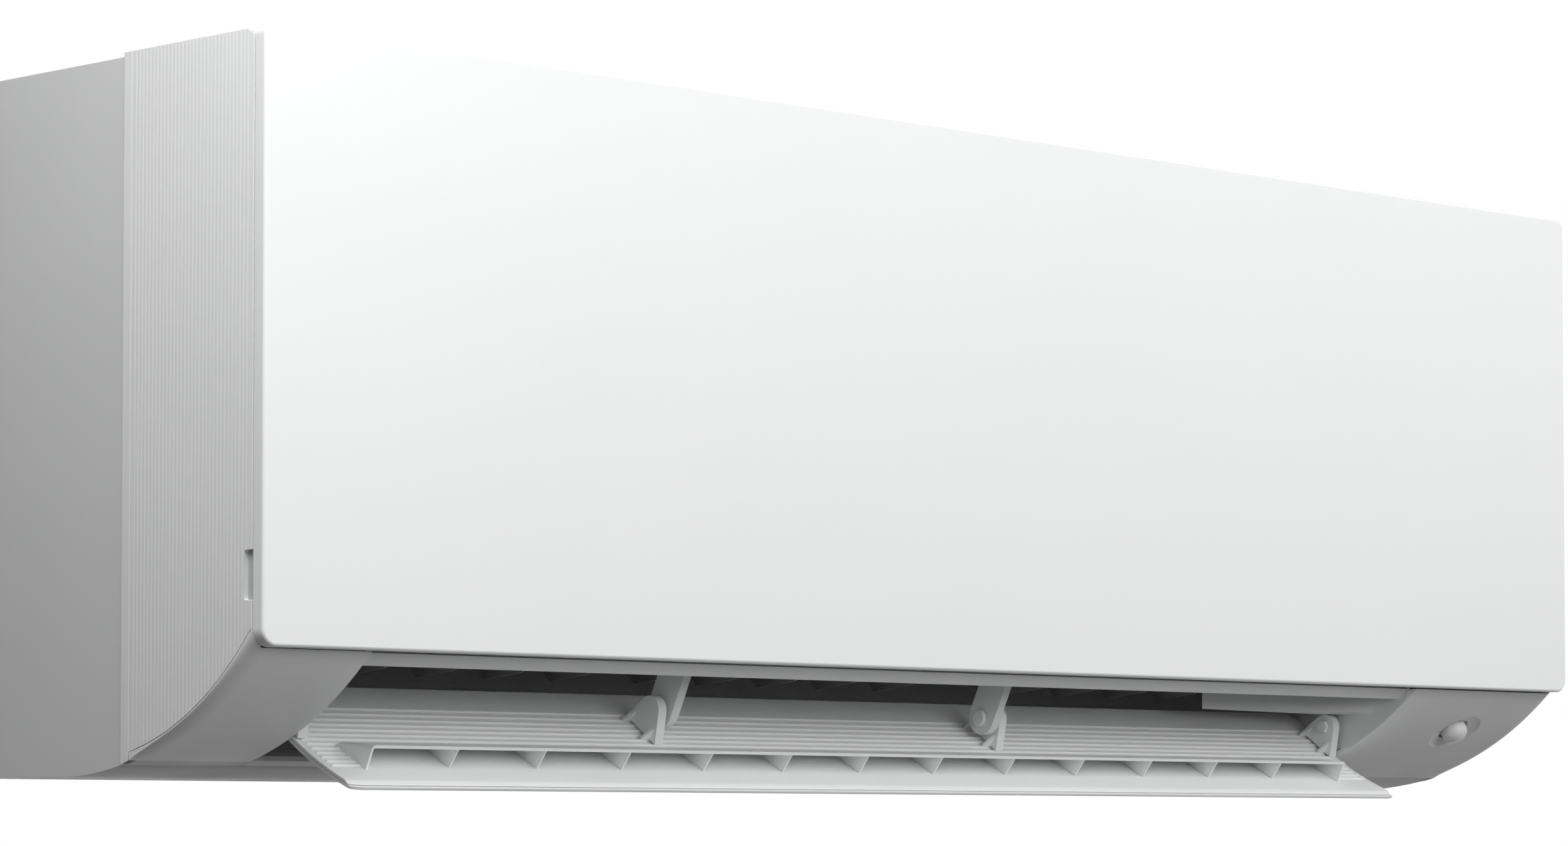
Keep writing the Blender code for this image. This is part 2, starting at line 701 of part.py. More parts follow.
def sensor_turned(profile, sides=ROUND_SIDES):
    """A profile of (radius, outward reach) turned about the sensor's axis."""
    lean = asin((PROFILE_CENTRE[0] - SENSOR_DEPTH) / PROFILE_RADIUS)
    out = Vector((0, -sin(lean), -cos(lean)))
    over = Vector((1, 0, 0))
    up = out.cross(over)
    seat = world(SENSOR_X, SENSOR_DEPTH, profile_height(SENSOR_DEPTH))
    rings = []
    for radius, reach in profile:
        turns = [2 * pi * i / sides for i in range(sides)]
        middle = seat + out * reach
        rings.append([middle + (over * cos(t) + up * sin(t)) * radius for t in turns])
    return loft(rings)


def sensor_dome():
    lean = asin((PROFILE_CENTRE[0] - SENSOR_DEPTH) / PROFILE_RADIUS)
    out = Vector((-sin(lean), -cos(lean)))
    over = Vector((cos(lean), -sin(lean)))
    middle = Vector((SENSOR_DEPTH, profile_height(SENSOR_DEPTH)))
    inside = 0.0
    for side in (-SENSOR_FLANGE, 0.0, SENSOR_FLANGE):
        place = middle + over * side
        while seam_height((place - out * inside).x) > (place - out * inside).y:
            inside += SEAT_GAP / 10
    seat = -inside - SEAT_GAP
    shoulder = SENSOR_PROUD - SENSOR_RADIUS * 0.75
    profile = [(SENSOR_FLANGE, seat - SENSOR_FLANGE_THICKNESS), (SENSOR_FLANGE, seat)]
    profile += [(SENSOR_RADIUS, seat + 0.0001), (SENSOR_RADIUS, shoulder)]
    for t in (pi / 8, pi / 4, 3 * pi / 8, pi / 2 - 0.06):
        profile.append((SENSOR_RADIUS * cos(t), shoulder + SENSOR_RADIUS * 0.75 * sin(t)))
    return make("sensor_dome", [sensor_turned(profile)], DOME)


# Rear chassis

def scroll_line():
    """The scroll's inner face from the outlet's back lip up to its top, as (d, h) points."""
    d, h = FAN_CENTRE
    foot = Vector((OUTLET_BACK - d, profile_height(OUTLET_BACK) + OUTLET_BACK_LIP - h))
    sweep = pi / 2 + atan2(-foot.x, -foot.y)
    near = FAN_RADIUS + SCROLL_CLEARANCE
    points = []
    steps = PROFILE_STEPS - 2
    for i in range(steps + 1):
        turn = sweep * (1 - i / steps)
        reach = near + (foot.length - near) * (turn / sweep) ** SCROLL_GROWTH
        points.append((d + reach * cos(turn), h - reach * sin(turn)))
    return points + [(d + near, SCROLL_TOP)]


def offset_line(points, distance):
    """An open line moved to its right by a distance."""
    moved = []
    for i, point in enumerate(points):
        before = Vector(points[max(i - 1, 0)])
        after = Vector(points[min(i + 1, len(points) - 1)])
        along = (after - before).normalized()
        moved.append((point[0] + along.y * distance, point[1] - along.x * distance))
    return moved


def partition_outline():
    """The wall beside the fan, inside the scroll and over the surround."""
    seat = SCROLL_WALL / 2
    low = [point for point in offset_line(scroll_line(), seat) if point[0] > OUTLET_BACK + 0.012]
    front = seam_arc(PARTITION_FRONT, BEAD_FRONT - 0.001, 4 * SEAT_GAP, 6)
    back = CHASSIS_BACK - CHASSIS_WALL / 2
    rear = [(back, SCROLL_TOP), (back, PARTITION_TOP), (PARTITION_FRONT, PARTITION_TOP)]
    return front + low + rear


def rear_chassis():
    front = BEAD_BACK + SEAT_GAP
    outer = profile_arc(PROFILE_RADIUS, front, PROFILE_BACK, 6)
    outer += arc(
        (CHASSIS_BACK - CHASSIS_CORNER, CHASSIS_CORNER), CHASSIS_CORNER, -pi / 2, 0, 3
    )
    outer += [(CHASSIS_BACK, CHASSIS_TOP), (front, CHASSIS_TOP)]
    piece = make(
        "rear_chassis", [across(outer, SIDE_STEP, WIDTH - SIDE_STEP)], OFF_WHITE
    )
    inner_radius = PROFILE_RADIUS - CHASSIS_WALL
    hollow = profile_arc(inner_radius, front - 3 * CUT_REACH, PROFILE_BACK, 6)
    hollow += [(CHASSIS_BACK - CHASSIS_WALL, CHASSIS_WALL)]
    hollow += [(CHASSIS_BACK - CHASSIS_WALL, HEIGHT + CUT_REACH)]
    hollow += [(front - 3 * CUT_REACH, HEIGHT + CUT_REACH)]
    inset = SIDE_STEP + CHASSIS_WALL
    cut(piece, [across(hollow, inset, WIDTH - inset)])
    tongue_front = BEAD_FRONT + SEAT_GAP
    tongue = profile_arc(PROFILE_RADIUS - 0.0002, tongue_front, front + CUT_REACH, 3)
    tongue += profile_arc(inner_radius, tongue_front, front + CUT_REACH, 3)[::-1]
    side = CASING_WALL + SEAT_GAP
    join(piece, [across(tongue, side + SIDE_STEP, WIDTH - side - SIDE_STEP)])
    inner = scroll_line()
    wall = offset_line(inner, SCROLL_WALL)
    start = BEAD_FRONT + CUT_REACH
    low = [point for point in inner if point[0] > start or point[1] > SCROLL_TOP / 2]
    under = (low[0][0] + 2 * CUT_REACH, profile_height(low[0][0] + 2 * CUT_REACH) + 0.0003)
    back = [point for point in wall if point[0] > under[0] + 0.002]
    scroll = low[::-1] + [(low[0][0], profile_height(low[0][0]) + 0.0003), under] + back
    left = PARTITION_LEFTS[0] + PARTITION_WALL / 2
    right = PARTITION_LEFTS[1] + PARTITION_WALL / 2
    join(piece, [across(scroll, left, right)])
    lip = [inner[0], (OUTLET_BACK, profile_height(OUTLET_BACK))]
    lip += [(start, profile_height(start)), (under[0], under[1] + 0.0002)]
    lip += [(low[1][0], low[1][1] - 0.0004), (low[0][0], low[0][1] - 0.0002)]
    join(piece, [across(lip, LEFT_CAP + SEAT_GAP, OUTLET_RIGHT - SEAT_GAP)])
    shelf = rectangle(
        inner[-1][0] + SCROLL_WALL / 2,
        SCROLL_TOP - SCROLL_WALL,
        CHASSIS_BACK - CHASSIS_WALL / 2,
        SCROLL_TOP - 0.0002,
    )
    join(piece, [across(shelf, left, right)])
    for start in PARTITION_LEFTS:
        join(piece, [across(partition_outline(), start, start + PARTITION_WALL)])
    seat = BEARING_RADIUS + SEAT_GAP
    holes = [across(circle(FAN_CENTRE, seat), left - CUT_REACH, left + CUT_REACH)]
    holes += [across(circle(FAN_CENTRE, seat), right - CUT_REACH, right + CUT_REACH)]
    shaft = circle(FLAP_PIVOT, PIN_RADIUS + 4 * PIN_CLEARANCE, SMALL_ROUND_SIDES)
    holes += [across(shaft, right - CUT_REACH, right + CUT_REACH)]
    pipe = rectangle(
        PIPE_HOLE_LEFT,
        PIPE_HOLE_LOW,
        PIPE_HOLE_LEFT + PIPE_HOLE_WIDTH,
        PIPE_HOLE_LOW + PIPE_HOLE_HEIGHT,
    )
    pipe = rounded(pipe, (CHASSIS_CORNER,) * 4)
    holes += [facing(pipe, CHASSIS_BACK - 2 * CUT_REACH, CHASSIS_BACK + CUT_REACH)]
    for x in hook_places():
        slot = rectangle(
            x - HOOK_WIDTH / 2 - SEAT_GAP,
            HOOK_LEVEL - SEAT_GAP,
            x + HOOK_WIDTH / 2 + SEAT_GAP,
            HOOK_LEVEL + HOOK_HEIGHT + SEAT_GAP,
        )
        holes += [facing(slot, CHASSIS_BACK - 2 * CUT_REACH, CHASSIS_BACK + CUT_REACH)]
    cut(piece, holes)
    return piece


# Mounting plate

def hook_places():
    return (WIDTH / 2 - HOOK_SPACING / 2, WIDTH / 2 + HOOK_SPACING / 2)


def mounting_plate():
    low = PLATE_CENTRE_HEIGHT - PLATE_HEIGHT / 2
    left = WIDTH / 2 - PLATE_WIDTH / 2
    sheet = rounded(
        rectangle(left, low, left + PLATE_WIDTH, low + PLATE_HEIGHT), (PLATE_CORNER,) * 4
    )
    front = DEPTH - PLATE_THICKNESS
    piece = make("mounting_plate", [facing(sheet, front, DEPTH)], STEEL)
    hooks = []
    for x in hook_places():
        side = rectangle(x - HOOK_WIDTH / 2, HOOK_LEVEL, x + HOOK_WIDTH / 2, HOOK_LEVEL + 0.002)
        hooks.append(facing(side, front - HOOK_REACH, DEPTH - PLATE_THICKNESS / 2))
        tip = rectangle(
            x - HOOK_WIDTH / 2, HOOK_LEVEL, x + HOOK_WIDTH / 2, HOOK_LEVEL + HOOK_HEIGHT
        )
        hooks.append(facing(tip, front - HOOK_REACH - 0.001, front - HOOK_REACH + 0.0005))
    join(piece, hooks)
    holes = []
    for side in (-1, 1):
        middle = WIDTH / 2 + side * PLATE_WIDTH / 4
        window = rectangle(
            middle - PLATE_WINDOW_WIDTH / 2,
            PLATE_CENTRE_HEIGHT - PLATE_WINDOW_HEIGHT / 2,
            middle + PLATE_WINDOW_WIDTH / 2,
            PLATE_CENTRE_HEIGHT + PLATE_WINDOW_HEIGHT / 2,
        )
        window = rounded(window, (PLATE_CORNER,) * 4)
        holes.append(facing(window, front - CUT_REACH, DEPTH + CUT_REACH))
        for reach in (0.12, 0.42, 0.9):
            for level in (-1, 1):
                x = WIDTH / 2 + side * reach * PLATE_WIDTH / 2
                h = PLATE_CENTRE_HEIGHT + level * (PLATE_HEIGHT / 2 - PLATE_CORNER)
                screw = circle((x, h), PLATE_SCREW_RADIUS, SMALL_ROUND_SIDES)
                holes.append(facing(screw, front - CUT_REACH, DEPTH + CUT_REACH))
    cut(piece, holes)
    return piece


# Top grille

def grille_top(d):
    """Height of the grille's upper face at a depth."""
    back = CHASSIS_BACK - CHASSIS_WALL
    return COVER_TOP - CHASSIS_DROP * (d - GRILLE_FRONT) / (back - GRILLE_FRONT)


def top_grille():
    back = CHASSIS_BACK - CHASSIS_WALL - SEAT_GAP
    upper = [(GRILLE_FRONT, grille_top(GRILLE_FRONT)), (back, grille_top(back))]
    lower = [(d, h - GRILLE_THICKNESS) for d, h in reversed(upper)]
    side = SIDE_STEP + CHASSIS_WALL + SEAT_GAP
    piece = make("top_grille", [across(upper + lower, side, WIDTH - side)], WHITE)
    run = back - GRILLE_FRONT - 2 * GRILLE_BORDER
    pitch = (run + GRILLE_SLOT) / GRILLE_ROWS
    span = WIDTH - 2 * (side + GRILLE_BORDER) + GRILLE_RIB
    slots = []
    for row in range(GRILLE_ROWS):
        d = GRILLE_FRONT + GRILLE_BORDER + row * pitch
        for bay in range(GRILLE_BAYS):
            x = side + GRILLE_BORDER + bay * span / GRILLE_BAYS
            end = x + span / GRILLE_BAYS - GRILLE_RIB
            hole = rectangle(x, d, end, d + GRILLE_SLOT)
            slots.append(upright(hole, COVER_TOP - 3 * CUT_REACH, COVER_TOP + CUT_REACH))
    cut(piece, slots)
    return piece


# Front frame and filters

def filter_lefts():
    gap = RAIL_WIDTH + 2 * SEAT_GAP
    return (FILTER_LEFT, FILTER_LEFT + FILTER_WIDTH + gap)


def front_frame():
    side = CASING_WALL + SEAT_GAP
    back = FRAME_FRONT + FRAME_THICKNESS
    outline = rectangle(side, FRAME_BOTTOM, WIDTH - side, FRAME_TOP)
    piece = make("front_frame", [facing(outline, FRAME_FRONT, back)], OFF_WHITE)
    holes = []
    for left in filter_lefts():
        window = rectangle(
            left + FILTER_BORDER, WINDOW_LOW, left + FILTER_WIDTH - FILTER_BORDER, WINDOW_HIGH
        )
        window = rounded(window, (PANEL_TOP_RADIUS,) * 4)
        holes.append(facing(window, FRAME_FRONT - CUT_REACH, back + CUT_REACH))
    bore = circle((BUTTON_X, BUTTON_HEIGHT), BUTTON_RADIUS + BUTTON_CLEARANCE, SMALL_ROUND_SIDES)
    holes.append(facing(bore, FRAME_FRONT - CUT_REACH, back + CUT_REACH))
    cut(piece, holes)
    rails = []
    rail_back = back + RAIL_DEPTH
    lip_front = rail_back - RAIL_LIP_THICKNESS
    root = FRAME_FRONT + FRAME_THICKNESS / 2
    lefts = filter_lefts()
    for x, lip_left, lip_right in (
        (lefts[0] - SEAT_GAP - RAIL_WIDTH, 0.0, RAIL_LIP),
        (lefts[1] - SEAT_GAP - RAIL_WIDTH, RAIL_LIP, RAIL_LIP),
        (lefts[1] + FILTER_WIDTH + SEAT_GAP, RAIL_LIP, 0.0),
    ):
        wall = rectangle(x, root, x + RAIL_WIDTH, rail_back)
        lip = rectangle(x - lip_left, lip_front, x + RAIL_WIDTH + lip_right, rail_back)
        rails.append(upright(wall, FRAME_BOTTOM + 0.0003, FRAME_TOP - 0.0003))
        rails.append(upright(lip, FRAME_BOTTOM + 0.0005, FRAME_TOP - 0.0005))
    ledge = rectangle(
        lefts[0] - SEAT_GAP - RAIL_WIDTH / 2,
        FRAME_BOTTOM + 0.0006,
        lefts[1] + FILTER_WIDTH + SEAT_GAP + RAIL_WIDTH / 2,
        FILTER_LEDGE - SEAT_GAP,
    )
    rails.append(facing(ledge, root, rail_back - 0.0003))
    join(piece, rails)
    return piece


def air_filter(name, left):
    right, top = left + FILTER_WIDTH, FRAME_TOP
    back = FILTER_DEPTH + FILTER_THICKNESS
    outline = rectangle(left, FILTER_LEDGE, right, top)
    sheet = facing(outline, FILTER_DEPTH, back)
    piece = make(name, [sheet], GREY, world((left + right) / 2, FILTER_DEPTH, FILTER_LEDGE))
    wide = (FILTER_WIDTH - 2 * FILTER_BORDER + FILTER_RIB) / FILTER_COLUMNS
    tall = (top - FILTER_LEDGE - 2 * FILTER_BORDER + FILTER_RIB) / FILTER_ROWS
    cells = []
    for column in range(FILTER_COLUMNS):
        for row in range(FILTER_ROWS):
            x = left + FILTER_BORDER + column * wide
            h = FILTER_LEDGE + FILTER_BORDER + row * tall
            cell = rectangle(x, h, x + wide - FILTER_RIB, h + tall - FILTER_RIB)
            cells.append(facing(cell, FILTER_DEPTH - CUT_REACH, back + CUT_REACH))
    cut(piece, cells)
    return piece


# Heat exchanger

def slab_outline(ends):
    low, high = Vector(ends[0]), Vector(ends[1])
    along = (high - low).normalized()
    over = Vector((along.y, -along.x)) * (SLAB_THICKNESS / 2)
    return [tuple(p) for p in (low - over, low + over, high + over, high - over)]


def exchanger_slab(name, ends):
    """A core plate that carries fins on both of its faces, standing square to x."""
    low, high = Vector(ends[0]), Vector(ends[1])
    along = (high - low).normalized()
    over = Vector((along.y, -along.x))
    step = (SLAB_LENGTH - FIN_THICKNESS) / (FIN_COUNT - 1)
    upper = []
    for i in range(FIN_COUNT):
        near = SLAB_LEFT + i * step
        far = near + FIN_THICKNESS
        upper += [(near, CORE_THICKNESS / 2), (near, SLAB_THICKNESS / 2)]
        upper += [(far, SLAB_THICKNESS / 2), (far, CORE_THICKNESS / 2)]
    upper = upper[1:-1]
    outline = upper + [(x, -rise) for x, rise in reversed(upper)]
    rings = [[world(x, *(base + over * rise)) for x, rise in outline] for base in (low, high)]
    return make(name, [loft(rings)], ALUMINIUM)


def return_bend(x, towards, first, second):
    """A half-round tube from one hole of the end sheet to the next."""
    first, second = Vector(first), Vector(second)
    middle, half = (first + second) / 2, (second - first) / 2
    across_dir = Vector((-half.y, half.x)).normalized()
    rings = []
    steps = 5
    for i in range(steps + 1):
        turn = pi * i / steps
        out = half.length * sin(turn) * towards
        centre = middle - half * cos(turn)
        ring = []
        for k in range(6):
            spin = 2 * pi * k / 6
            swell = BEND_TUBE * cos(spin)
            place = centre - half.normalized() * (swell * cos(turn))
            place = place + across_dir * (BEND_TUBE * sin(spin))
            ring.append(world(x + out + towards * swell * sin(turn), *place))
        rings.append(ring)
    inward = [point - Vector((towards * END_SHEET / 2, 0, 0)) for point in rings[0]]
    outward = [point - Vector((towards * END_SHEET / 2, 0, 0)) for point in rings[-1]]
    return loft([inward] + rings + [outward])


def end_sheet(name, x, towards):
    """The steel sheet at the slabs' ends, with the copper bends that join their tubes."""
    slabs = (FRONT_SLAB, TOP_SLAB, REAR_SLAB)
    front, top, rear = (slab_outline(ends) for ends in slabs)
    outline = [front[0], front[3], top[0], top[3], rear[0], rear[3]]
    outline += [rear[2], rear[1], top[2], top[1], front[2], front[1]]
    low, high = sorted((x, x + towards * END_SHEET))
    piece = make(name, [across(outline, low, high)], STEEL)
    for ends in slabs:
        start, end = Vector(ends[0]), Vector(ends[1])
        along = (end - start).normalized()
        room = (end - start).length / BENDS_PER_SLAB
        for i in range(BENDS_PER_SLAB):
            middle = start + along * room * (i + 0.5)
            first, second = middle - along * BEND_RADIUS, middle + along * BEND_RADIUS
            join(piece, [return_bend(x + towards * END_SHEET, towards, first, second)])
    return piece


# Fan and its motor

def blade_outline(turn):
    """A curved blade's section between the inner and the outer radius, as (d, h) points."""
    front, back = [], []
    for i in range(3):
        share = i / 2
        reach = FAN_INNER_RADIUS + (FAN_RADIUS - FAN_INNER_RADIUS) * share
        angle = turn + radians(14) * share**2
        half = FAN_BLADE_THICKNESS / 2 / reach
        for side, line in ((-half, front), (half, back)):
            point = (
                FAN_CENTRE[0] + reach * cos(angle + side),
                FAN_CENTRE[1] + reach * sin(angle + side),
            )
            line.append(point)
    return front + back[::-1]


def cross_flow_fan():
    pivot = world(WIDTH / 2, *FAN_CENTRE)
    hub = AXLE_RADIUS + AXLE_CLEARANCE
    disc_radius = FAN_RADIUS + 0.0004
    right = FAN_LEFT + FAN_LENGTH
    first = across(circle(FAN_CENTRE, disc_radius), FAN_LEFT, FAN_LEFT + FAN_DISC)
    piece = make("cross_flow_fan", [first], OFF_WHITE, pivot)
    blades = []
    for i in range(FAN_BLADES):
        outline = blade_outline(2 * pi * i / FAN_BLADES)
        blades.append(across(outline, FAN_LEFT + FAN_DISC / 2, right - FAN_DISC / 2))
    combine(piece, blades, "UNION")
    step = (FAN_LENGTH - FAN_DISC) / (FAN_DISCS - 1)
    for i in range(1, FAN_DISCS):
        left = FAN_LEFT + i * step
        combine(piece, [across(circle(FAN_CENTRE, disc_radius), left, left + FAN_DISC)], "UNION")
    bores = [across(circle(FAN_CENTRE, hub), FAN_LEFT - CUT_REACH, FAN_LEFT + CUT_REACH)]
    bores += [across(circle(FAN_CENTRE, hub), right - CUT_REACH, right + CUT_REACH)]
    for i in range(1, FAN_DISCS - 1):
        left = FAN_LEFT + i * step
        middle = circle(FAN_CENTRE, FAN_INNER_RADIUS - CUT_REACH)
        bores.append(across(middle, left - CUT_REACH, left + FAN_DISC + CUT_REACH))
    cut(piece, bores)
    return piece


def fan_axle():
    left = PARTITION_LEFTS[0] - 0.004
    rod = around_x([(left, AXLE_RADIUS), (FAN_LEFT + FAN_DISC + 0.003, AXLE_RADIUS)], FAN_CENTRE)
    return make("fan_axle", [rod], STEEL, world(WIDTH / 2, *FAN_CENTRE))


def motor_shaft():
    left = FAN_LEFT + FAN_LENGTH - FAN_DISC - 0.003
    right = motor_left() + 0.012
    rod = around_x([(left, AXLE_RADIUS), (right, AXLE_RADIUS)], FAN_CENTRE)
    return make("motor_shaft", [rod], STEEL, world(WIDTH / 2, *FAN_CENTRE))


def motor_left():
    return PARTITION_LEFTS[1] + PARTITION_WALL + SEAT_GAP


def fan_bearing():
    left = PARTITION_LEFTS[0] + PARTITION_WALL / 2 - BEARING_LENGTH / 2
    ring = across(circle(FAN_CENTRE, BEARING_RADIUS), left, left + BEARING_LENGTH)
    piece = make("fan_bearing", [ring], RUBBER)
    bore = circle(FAN_CENTRE, AXLE_RADIUS + AXLE_CLEARANCE)
    cut(piece, [across(bore, left - CUT_REACH, left + BEARING_LENGTH + CUT_REACH)])
    return piece


def fan_motor():
    left = motor_left()
    lip = 0.004
    rings = [(left, MOTOR_RADIUS - lip), (left + lip, MOTOR_RADIUS)]
    rings += [(left + MOTOR_LENGTH - lip, MOTOR_RADIUS), (left + MOTOR_LENGTH, MOTOR_RADIUS - lip)]
    rings += [(left + MOTOR_LENGTH + 0.0005, MOTOR_BOSS_RADIUS)]
    rings += [(left + MOTOR_LENGTH + MOTOR_BOSS_LENGTH, MOTOR_BOSS_RADIUS)]
    piece = make("fan_motor", [around_x(rings, FAN_CENTRE)], DARK)
    bore = circle(FAN_CENTRE, AXLE_RADIUS + AXLE_CLEARANCE)
    cut(piece, [across(bore, left - CUT_REACH, left + 0.016)])
    return piece


# Outlet duct and drain pan

def ceiling_height(d):
    return CEILING_BACK_HEIGHT + (d - CEILING_BACK_DEPTH) * CEILING_SLOPE


def ceiling_line(drop=0.0):
    """The duct's ceiling from its front wall to the tongue, as (d, h) points."""
    front = DUCT_FRONT + DUCT_SHEET
    points = [(front, ceiling_height(front) - 0.004)]
    points += [(d, ceiling_height(d)) for d in (0.030, CEILING_BACK_DEPTH)]
    points += [(TONGUE_DEPTH, TONGUE_BASE)]
    return [(d, h - drop) for d, h in points]


def outlet_duct():
    lower = [(DUCT_FRONT, DUCT_FLOOR_FRONT), (DUCT_FRONT + DUCT_SHEET, DUCT_FLOOR_FRONT)]
    lower += ceiling_line() + [(TONGUE_DEPTH, PAN_TOP + 0.002)]
    inside = TONGUE_DEPTH - DUCT_SHEET
    pad = VANE_PIVOT_DEPTH - 3 * VANE_PIN_RADIUS
    pad_top = ceiling_height(VANE_PIVOT_DEPTH) + VANE_PIN_LENGTH
    front = DUCT_FRONT + DUCT_SHEET
    upper = [(inside, PAN_TOP + 0.002), (inside, pad_top), (pad, pad_top)]
    upper += [(pad, ceiling_height(pad) + DUCT_SHEET)]
    upper += [(0.032, ceiling_height(0.032) + DUCT_SHEET)]
    wall = DUCT_FRONT + DUCT_STEP_BACK
    upper += [(wall + DUCT_SHEET, ceiling_height(front) - 0.002 + DUCT_SHEET)]
    upper += [(wall + DUCT_SHEET, PAN_TOP), (wall, PAN_TOP)]
    upper += [(wall, DUCT_STEP_HEIGHT + 2 * DUCT_STEP_BACK), (DUCT_FRONT, DUCT_STEP_HEIGHT)]
    left, right = LEFT_CAP - DUCT_WALL, OUTLET_RIGHT
    piece = make(
        "outlet_duct", [across(lower + upper, left + 0.0002, right + DUCT_WALL - 0.0002)], OFF_WHITE
    )
    end = seam_arc(DUCT_FRONT + 0.0002, DUCT_END_DEPTH, 2 * SEAT_GAP, 8)
    end += [(DUCT_END_DEPTH, FLAP_PIVOT[1] + 0.03), (TONGUE_DEPTH - 0.0002, PAN_TOP)]
    end += [(wall + 0.0002, PAN_TOP - 0.0002)]
    end += [(wall + 0.0002, DUCT_STEP_HEIGHT + 2 * DUCT_STEP_BACK)]
    end += [(DUCT_FRONT + 0.0002, DUCT_STEP_HEIGHT)]
    join(piece, [across(end, left, left + DUCT_WALL), across(end, right, right + DUCT_WALL)])
    holes = []
    for x in vane_places():
        pin = circle((x, VANE_PIVOT_DEPTH), VANE_PIN_RADIUS + VANE_PIN_CLEARANCE, 8)
        low = ceiling_height(VANE_PIVOT_DEPTH) - CUT_REACH
        holes.append(upright(pin, low, pad_top - VANE_PIN_RADIUS))
    for x in (left, right):
        shaft = circle(FLAP_PIVOT, PIN_RADIUS + PIN_CLEARANCE, SMALL_ROUND_SIDES)
        holes.append(across(shaft, x - CUT_REACH, x + DUCT_WALL + CUT_REACH))
    cut(piece, holes)
    return piece


# Vertical vanes

def vane_places():
    places = []
    for first, count in VANE_SECTIONS:
        places += [first + i * VANE_PITCH for i in range(count)]
    return places


def vane(number, x):
    outline = [(VANE_FRONT, VANE_BOTTOM + 0.0025), (VANE_BACK - VANE_CORNER, VANE_BOTTOM)]
    outline += [(VANE_BACK, VANE_BOTTOM + VANE_CORNER), (VANE_BACK, VANE_TOP)]
    outline += [(VANE_FRONT + VANE_CORNER, VANE_TOP), (VANE_FRONT, VANE_TOP - 0.0015)]
    blade = rounded(outline, (VANE_CORNER / 2, 0, 0, VANE_CORNER / 2, 0, 0), 2)
    half = VANE_THICKNESS / 2
    pivot = world(x, VANE_PIVOT_DEPTH, VANE_TOP)
    piece = make(f"vane_{number:02d}", [across(blade, x - half, x + half)], OFF_WHITE, pivot)
    pin = circle((x, VANE_PIVOT_DEPTH), VANE_PIN_RADIUS, 8)
    top = ceiling_height(VANE_PIVOT_DEPTH) + VANE_PIN_LENGTH - VANE_PIN_RADIUS - SEAT_GAP
    join(piece, [upright(pin, VANE_TOP - 0.006, top)])
    peg = circle((x, LINK_DEPTH), LINK_PIN_RADIUS, 6)
    join(piece, [upright(peg, VANE_TOP - 0.003, LINK_LOW + LINK_THICKNESS + 0.0012)])
    return piece


def vane_link(number, first, count):
    left, right = first - LINK_END, first + (count - 1) * VANE_PITCH + LINK_END
    bar = rectangle(left, LINK_FRONT, right, LINK_BACK)
    solid = upright(rounded(bar, (0.0015,) * 4, 2), LINK_LOW, LINK_LOW + LINK_THICKNESS)
    pivot = world(first, LINK_DEPTH, LINK_LOW)
    piece = make(f"vane_link_{number}", [solid], OFF_WHITE, pivot)
    drift = (LINK_DEPTH - VANE_PIVOT_DEPTH) * (1 - cos(VANE_SWING))
    side = LINK_PIN_RADIUS + LINK_SIDE_PLAY
    end = LINK_PIN_RADIUS + LINK_END_PLAY
    slots = []
    for i in range(count):
        x = first + i * VANE_PITCH
        slot = rectangle(x - side, LINK_DEPTH - drift - end, x + side, LINK_DEPTH + end)
        slots.append(upright(slot, LINK_LOW - CUT_REACH, LINK_LOW + CUT_REACH))
    cut(piece, slots)
    return piece


# Flap

def flap_point(run, lift):
    """A point of the shut flap: run along it from its back edge, lift in from the profile."""
    start = asin((PROFILE_CENTRE[0] - FLAP_BACK_DEPTH) / PROFILE_RADIUS)
    turn = start + run / PROFILE_RADIUS
    reach = PROFILE_RADIUS - lift
    return (PROFILE_CENTRE[0] - reach * sin(turn), PROFILE_CENTRE[1] - reach * cos(turn))


def flap_length():
    start = asin((PROFILE_CENTRE[0] - FLAP_BACK_DEPTH) / PROFILE_RADIUS)
    end = asin((PROFILE_CENTRE[0] - FLAP_FRONT_DEPTH) / PROFILE_RADIUS)
    return (end - start) * PROFILE_RADIUS


def opened(point):
    """A point of the shut flap, turned with it to the open angle."""
    rest = Vector(point) - Vector(FLAP_PIVOT)
    turned = Matrix.Rotation(FLAP_OPEN_ANGLE, 2) @ rest
    return tuple(turned + Vector(FLAP_PIVOT))


def across_flap(outline, left, right):
    return across([opened(flap_point(*point)) for point in outline], left, right)


def flap_stations():
    """Places along the flap with how far its back and front edges draw in there."""
    stations = []
    for i in range(CORNER_STEPS + 2):
        turn = pi / 2 * i / (CORNER_STEPS + 1)
        along = FLAP_BACK_CORNER * (1 - cos(turn))
        back = FLAP_BACK_CORNER * (1 - sin(turn))
        front = FLAP_FRONT_CORNER * (1 - sin(turn))
        stations.append((along, back, front))
    left = [(FLAP_LEFT + along, back, front) for along, back, front in stations]
    right = [(FLAP_RIGHT - along, back, front) for along, back, front in reversed(stations)]
    return left + right


def flap_shell(name, low_lift, section, finish):
    rings = []
    for x, back, front in flap_stations():
        outline = section(back, front, low_lift)
        rings.append([world(x, *opened(flap_point(*point))) for point in outline])
    pivot = world(WIDTH / 2, *FLAP_PIVOT)
    return make(name, [loft(rings)], finish, pivot)


def skin_section(back, front, lift):
    run, steps = flap_length() - back - front, 14
    outer = [(back + run * i / steps, lift) for i in range(steps + 1)]
    inner = [(back + run * i / steps, lift + FLAP_SKIN) for i in range(steps + 1)]
    return outer + inner[::-1]


